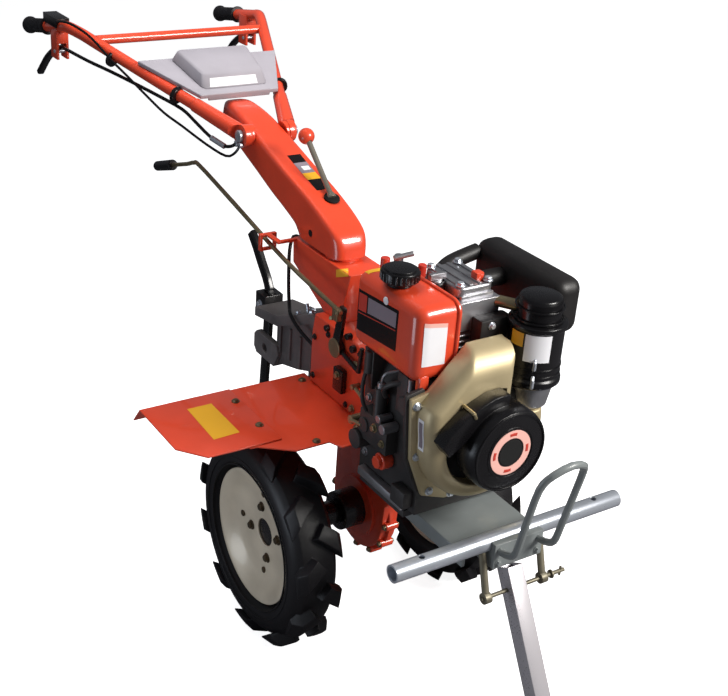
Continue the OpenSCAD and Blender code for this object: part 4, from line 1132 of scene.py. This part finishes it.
    def _side(self, shop: Workshop) -> None:
        """Pump, pipes and fittings on the engine's right side."""
        dark, steel, brass, orange = Form(), Form(), Form(), Form()
        for form, start, end, radius in (
                (dark, (-142, -196, 340), (-110, -196, 340), 15),
                (dark, (-146, -176, 300), (-112, -176, 300), 20),
                (dark, (-130, -300, 430), (-112, -300, 430), 18),
                (dark, (-126, -180, 440), (-126, -180, 486), 8),
                (steel, (-146, -263, 365), (-112, -263, 365), 10),
                (steel, (-142, -243, 376), (-112, -243, 376), 8),
                (steel, (-126, -225, 428), (-126, -225, 442), 8),
                (steel, (-120, -306, 460), (-120, -306, 486), 6),
                (brass, (-142, -152, 328), (-112, -152, 328), 9),
                (brass, (-140, -152, 328), (-140, -190, 336), 4)):
            form.rod(start, end, radius)
        dark.block((-134, -334, 226), (-112, -290, 262), 4)
        steel.block((-128, -320, 214), (-112, -170, 232), 3)
        dark.tube(curve([(-126, -240, 420), (-138, -250, 444), (-130, -270, 462), (-112, -290, 470)]), 5, 10)
        dark.tube(curve([(-128, -200, 352), (-142, -190, 390), (-136, -180, 430), (-118, -176, 470)]), 4, 10)
        steel.tube(curve([(-126, -225, 440), (-124, -232, 462), (-100, -250, 474), (-70, -262, 482)]), 3, 8)
        brass.bolt((-138, -230, 350), (-1, 0, 0), 12, 7)
        brass.bolt((-138, -258, 330), (-1, 0, 0), 10, 6)
        orange.rod((-144, -250, 287), (-136, -250, 287), 13, 8)
        for y, z in ((-330, 300), (-330, 380), (-330, 440), (-170, 260), (-170, 380)):
            steel.bolt((-112, y, z), (-1, 0, 0), 11, 6)
        self.fit(shop, ("side_castings", dark, Skin.CASTING), ("side_fittings", steel, Skin.ALLOY),
                 ("side_brass", brass, Skin.BRASS), ("oil_cap_grip", orange, Skin.ORANGE))


@dataclass
class Front(Assembly):
    """Bumper tube, guard loop and stand."""

    def dress(self, shop: Workshop) -> None:
        """The front pieces."""
        self.refine(shop, Skin.ZINC, bumper_tube=0.8)
        self.refine(shop, Skin.GREY_PAINT, bumper_bracket=1.5, guard_loop=0.0)
        self.refine(shop, Skin.OLIVE, stand_hangers=0.8)
        shop.refine("stand_leg", Skin.LEG, Body.STAND, 1.2)
        shop.refine("stand_foot", Skin.LEG, Body.STAND, 1.0)
        bolts, pin = Form(), Form()
        for x in (-45, 45):
            bolts.bolt((x, -514, 196), (0, -1, 0), 10, 6)
        pin.ring(4.2, 8.5, 3, (86, -518, 128), (1, 0, 0))
        pin.rod((110, -518, 118), (110, -518, 138), 2.5)
        self.fit(shop, ("bumper_bolts", bolts, Skin.GREY_PAINT), ("stand_pin_clip", pin, Skin.OLIVE))


@dataclass
class Neck(Assembly):
    """Swan neck with the gear lever.

    Attributes:
        stations: Underside (y, z), crown (y, z), half width, share of the hollow and roundness of
            each section.
        wall: Thickness of the casting.
        lip: How far the sides turn in below, in degrees.
        lever_foot: Where the gear lever comes out of the crown.
        lever_top: Where the knob sits.
        above: Height from which fields are laid on the crown.
    """

    body: Body = Body.NECK
    stations: Sequence[tuple[float, ...]] = (
        (256, 547, 84, 547, 42, 1, 0.46), (262, 556, 87, 572, 42, 1, 0.40),
        (272, 568, 98, 593, 42, 1, 0.32), (292, 578, 122, 608, 42, 1, 0.25),
        (325, 590, 164, 626, 42, 1, 0.22), (370, 604, 228, 648, 42, 1, 0.22),
        (434, 628, 312, 671, 42, 1, 0.22), (502, 650, 404, 699, 41, 1, 0.25),
        (558, 666, 500, 728, 39, 0.8, 0.34), (606, 682, 576, 742, 34, 0.3, 0.46),
        (628, 694, 614, 739, 26, 0.1, 0.46), (640, 706, 632, 730, 14, 0.1, 0.46))
    wall: float = 6.0
    lip: float = 50.0
    lever_foot: Point = (10.0, 196.0, 640.0)
    lever_top: Point = (10.0, 306.0, 736.0)
    above: float = 800.0

    def _section(self, station: Vector) -> list[Vector]:
        """One arch of the casting, open below."""
        low, high = Vector((0, station[0], station[1])), Vector((0, station[2], station[3]))
        middle, up, across_x = (low + high) / 2, (high - low).normalized(), Vector((1, 0, 0))
        tall, half, hollow, power = (high - low).length / 2, station[4], station[5], station[6]
        sweep = [-self.lip + (180 + 2 * self.lip) * step / 56 for step in range(57)]
        ring = []
        for inset, share, turns in ((0.0, 1.0, sweep), (self.wall, hollow, sweep[::-1])):
            for degrees in turns:
                side, rise = math.cos(math.radians(degrees)), math.sin(math.radians(degrees))
                ring.append(
                    middle + up * (tall - inset) * share * math.copysign(abs(rise) ** power, rise)
                    + across_x * (half - inset) * share * math.copysign(abs(side) ** power, side))
        return ring

    def dress(self, shop: Workshop) -> None:
        """The neck's pieces."""
        casting = Form().loft([self._section(station) for station in curve(self.stations, 5)])
        shop.add("neck_skin", casting, Skin.ORANGE, self.body, ["neck"])
        collar = Form().ring(16, 38, 14, (0, 125, 540.6), (0, 0, 1))
        shop.add("swivel_disc_skin", collar, Skin.ORANGE, self.body, ["swivel_disc"])
        self.refine(shop, Skin.ORANGE, pivot_bosses=2.0)
        shop.carry(Skin.ORANGE, "gear_knob")
        self.refine(shop, Skin.ZINC, pivot_bolts=1.2)
        lever = Form().rod(self.lever_foot, self.lever_top, 6.0, 20)
        lever.revolve([(10, 0), (10, 4), (7, 12)], self.lever_foot, (0, 0.75, 0.66), 24)
        shop.add("gear_lever_skin", lever, Skin.LEVER, self.body, ["gear_lever"])
        for name, (right, left), (back, front), skin, lift, steps in (
                ("neck_strip_rear", (-8, 24), (356, 328), Skin.FIELD_BLACK, 0.5, 8),
                ("neck_strip_grey", (-8, 24), (328, 290), Skin.FIELD_GREY, 0.5, 8),
                ("neck_strip_yellow", (-8, 24), (290, 266), Skin.FIELD_YELLOW, 0.5, 8),
                ("neck_strip_front", (-8, 24), (266, 228), Skin.FIELD_BLACK, 0.5, 8),
                ("neck_strip_patch", (2, 20), (314, 300), Skin.FIELD_WHITE, 0.8, 4)):
            shop.decal(name, "neck_skin", [(right, back, self.above), (left, back, self.above),
                                           (left, front, self.above), (right, front, self.above)],
                       (0, 0, -1), skin, self.body, lift, steps)
        # Painted shade: near-black discs stand for the shade inside a hole on the neck's right side and in
        # the socket round the gear lever's foot.
        hole = Form().revolve([(7.5, 0), (7.5, 0.8), (6, 1.0)], (-41.8, 189, 572), (-1, 0, 0), 24)
        hole.revolve([(17, -3), (17, 1.5), (15, 2.5)], self.lever_foot, (0, -0.33, 0.94), 28)
        self.fit(shop, ("neck_holes", hole, Skin.HOLLOW))


@dataclass
class Handlebar(Assembly):
    """Handles with their controls and the tool box."""

    body: Body = Body.HANDLEBAR

    def dress(self, shop: Workshop) -> None:
        """The handlebar's pieces."""
        self.refine(shop, Skin.ORANGE, handle_arms=1.5, handle_crossbar=0.0, lever_brackets=2.0,
                    handle_tube_right=0.0, handle_tube_left=0.0)
        self.refine(shop, Skin.GRIP, grips=1.5)
        self.refine(shop, Skin.PLASTIC, clutch_levers=2.0, throttle_box=3.0)
        shop.carry(Skin.PLASTIC, "handle_cables")
        self.refine(shop, Skin.GREY_PLASTIC, toolbox_tray=2.0, toolbox_cover=4.0)
        self._fittings(shop)
        shop.decal("toolbox_field", "toolbox_cover",
                   [(-62, 600, 790), (54, 600, 790), (56, 600, 772), (-65, 600, 772)],
                   (0, 1, 0), Skin.FIELD_WHITE, self.body, 0.5, 6)

    def _fittings(self, shop: Workshop) -> None:
        """Cable sleeves and clips, lever pins and grip ribs."""
        steel, black, ribs = Form(), Form(), Form()
        steel.rod((-96, 543, 679), (-82, 503, 669), 6.5)
        steel.rod((-64, 472, 684), (-73, 472, 684), 7.5)
        steel.rod((-64, 455, 684.5), (-73, 455, 684.5), 6)
        for side in (-1, 1):
            steel.rod((side * 238, 1032, 770), (side * 274, 1032, 770), 4.5)
            black.rod((side * 130, 640, 750), (side * 134, 650, 752), 19)
        black.rod((-205, 830, 792), (-208, 838, 794), 18)
        grip_start, grip_end = Vector((-260.7, 1105, 814.4)), Vector((-266, 1220, 793))
        for side in (-1, 1):
            for step in range(9):
                place = grip_start.lerp(grip_end, 0.14 + 0.085 * step)
                place.x *= -side
                ribs.revolve([(16, -2), (17.4, -1), (17.4, 1), (16, 2)], place,
                             (side * 0.045, 0.975, -0.18), 28)
        self.fit(shop, ("cable_sleeves", steel, Skin.ZINC), ("cable_clips", black, Skin.PLASTIC),
                 ("grip_ribs", ribs, Skin.GRIP))


@dataclass
class Controls(Assembly):
    """Long shift rod."""

    def dress(self, shop: Workshop) -> None:
        """The rod, its grip and its arm."""
        self.refine(shop, Skin.BRASS, shift_rod=0.0)
        self.refine(shop, Skin.GRIP, shift_grip=3.0)
        self.refine(shop, Skin.BLACK_PAINT, shift_pivot=1.5)


@dataclass(frozen=True)
class Lamp:
    """One soft box.

    Attributes:
        name: Its name.
        place: Where it stands, in metres.
        size: Width and height, in metres.
        power: Watts.
        colour: Its colour.
        glossy: Whether it shows in polished surfaces.
    """

    name: str
    place: Point
    size: tuple[float, float]
    power: float
    colour: Colour = (1.0, 1.0, 1.0)
    glossy: bool = True


@dataclass
class Studio:
    """Floor, backdrop, lights and camera.

    Attributes:
        eye: Place of the camera.
        target: What it looks at.
        lens: Focal length in millimetres, on a 36 mm sensor.
        shift: Lens shift.
        lamps: The soft boxes.
    """

    eye: Point = (-1.2993, -2.2306, 1.5076)
    target: Point = (0.0, -0.2094, 0.5829)
    lens: float = 60.95
    shift: tuple[float, float] = (0.0077, 0.0107)
    lamps: Sequence[Lamp] = field(default_factory=lambda: (
        Lamp("key", (1.5, -3.0, 2.2), (1.3, 1.3), 150.0, (1.0, 0.97, 0.93)),
        Lamp("fill", (-1.5, -0.15, 0.45), (0.6, 0.6), 4.0, (0.80, 0.88, 1.0)),
        Lamp("top", (-0.1, 0.4, 2.7), (1.3, 1.3), 37.0, glossy=False),
    ))

    def build(self) -> None:
        """Sets the stage."""
        self._floor()
        self._world()
        for lamp in self.lamps:
            self._lamp(lamp)
        self._camera()
        bpy.context.scene.view_settings.view_transform = "Standard"

    def _floor(self) -> None:
        """Pale floor that keeps the shadow and is white to the camera."""
        half = 14.0
        mesh = bpy.data.meshes.new("floor")
        corners = [(-half, -half, 0), (half, -half, 0), (half, half, 0), (-half, half, 0)]
        mesh.from_pydata(corners, [], [(0, 1, 2, 3)])
        floor = bpy.data.objects.new("floor", mesh)
        bpy.context.scene.collection.objects.link(floor)
        made = bpy.data.materials.new("floor")
        graph = Graph(made)
        seen = graph.node("ShaderNodeLightPath").outputs["Is Camera Ray"]
        mirrored = graph.node("ShaderNodeLightPath").outputs["Is Glossy Ray"]
        pale = graph.node("ShaderNodeBsdfDiffuse", None, {"Color": (0.36, 0.36, 0.38, 1)})
        dim = graph.node("ShaderNodeBsdfDiffuse", None, {"Color": (0.10, 0.10, 0.11, 1)})
        plain = graph.node("ShaderNodeMixShader", None, {0: mirrored, 1: pale.outputs[0], 2: dim.outputs[0]})
        bright = graph.node("ShaderNodeBsdfDiffuse", None, {"Color": (0.98, 0.98, 0.98, 1)})
        glow = graph.node("ShaderNodeEmission", None, {"Color": (1, 1, 1, 1), "Strength": 0.87})
        lit = graph.node("ShaderNodeAddShader", None, {0: bright.outputs[0], 1: glow.outputs[0]})
        both = graph.node("ShaderNodeMixShader", None, {0: seen, 1: plain.outputs[0], 2: lit.outputs[0]})
        graph.node("ShaderNodeOutputMaterial", None, {"Surface": both.outputs[0]})
        mesh.materials.append(made)

    def _world(self) -> None:
        """Soft even light, white behind the machine."""
        world = bpy.data.worlds.new("studio")
        bpy.context.scene.world = world
        graph = Graph(world)
        seen = graph.node("ShaderNodeLightPath").outputs["Is Camera Ray"]
        soft = graph.node("ShaderNodeBackground", None, {"Color": (0.88, 0.92, 1.0, 1), "Strength": 0.15})
        white = graph.node("ShaderNodeBackground", None, {"Color": (1, 1, 1, 1), "Strength": 1.0})
        both = graph.node("ShaderNodeMixShader", None, {0: seen, 1: soft.outputs[0], 2: white.outputs[0]})
        graph.node("ShaderNodeOutputWorld", None, {"Surface": both.outputs[0]})

    def _lamp(self, lamp: Lamp) -> None:
        """Adds one soft box that faces the machine."""
        data = bpy.data.lights.new(lamp.name, "AREA")
        data.shape = "RECTANGLE"
        data.size, data.size_y = lamp.size
        data.energy = lamp.power
        data.color = lamp.colour
        made = bpy.data.objects.new(lamp.name, data)
        made.location = lamp.place
        made.visible_glossy = lamp.glossy
        aim = Vector(self.target) - Vector(lamp.place)
        made.rotation_euler = aim.to_track_quat("-Z", "Y").to_euler()
        bpy.context.scene.collection.objects.link(made)

    def _camera(self) -> None:
        """The photograph's camera."""
        data = bpy.data.cameras.new("camera")
        data.lens = self.lens
        data.sensor_width = SENSOR_WIDTH
        data.shift_x, data.shift_y = self.shift
        camera = bpy.data.objects.new("camera", data)
        camera.location = self.eye
        aim = Vector(self.target) - Vector(self.eye)
        camera.rotation_euler = aim.to_track_quat("-Z", "Y").to_euler()
        bpy.context.scene.collection.objects.link(camera)
        bpy.context.scene.camera = camera


def main() -> None:
    """Dresses the machine and sets the stage."""
    logging.basicConfig(level=logging.INFO, format="%(message)s")
    shop = Workshop(frame)
    for assembly in (Wheels, Transmission, Fenders, Engine, Front, Neck, Handlebar, Controls):
        assembly().dress(shop)
    Studio().build()


if __name__ == "__main__":
    main()
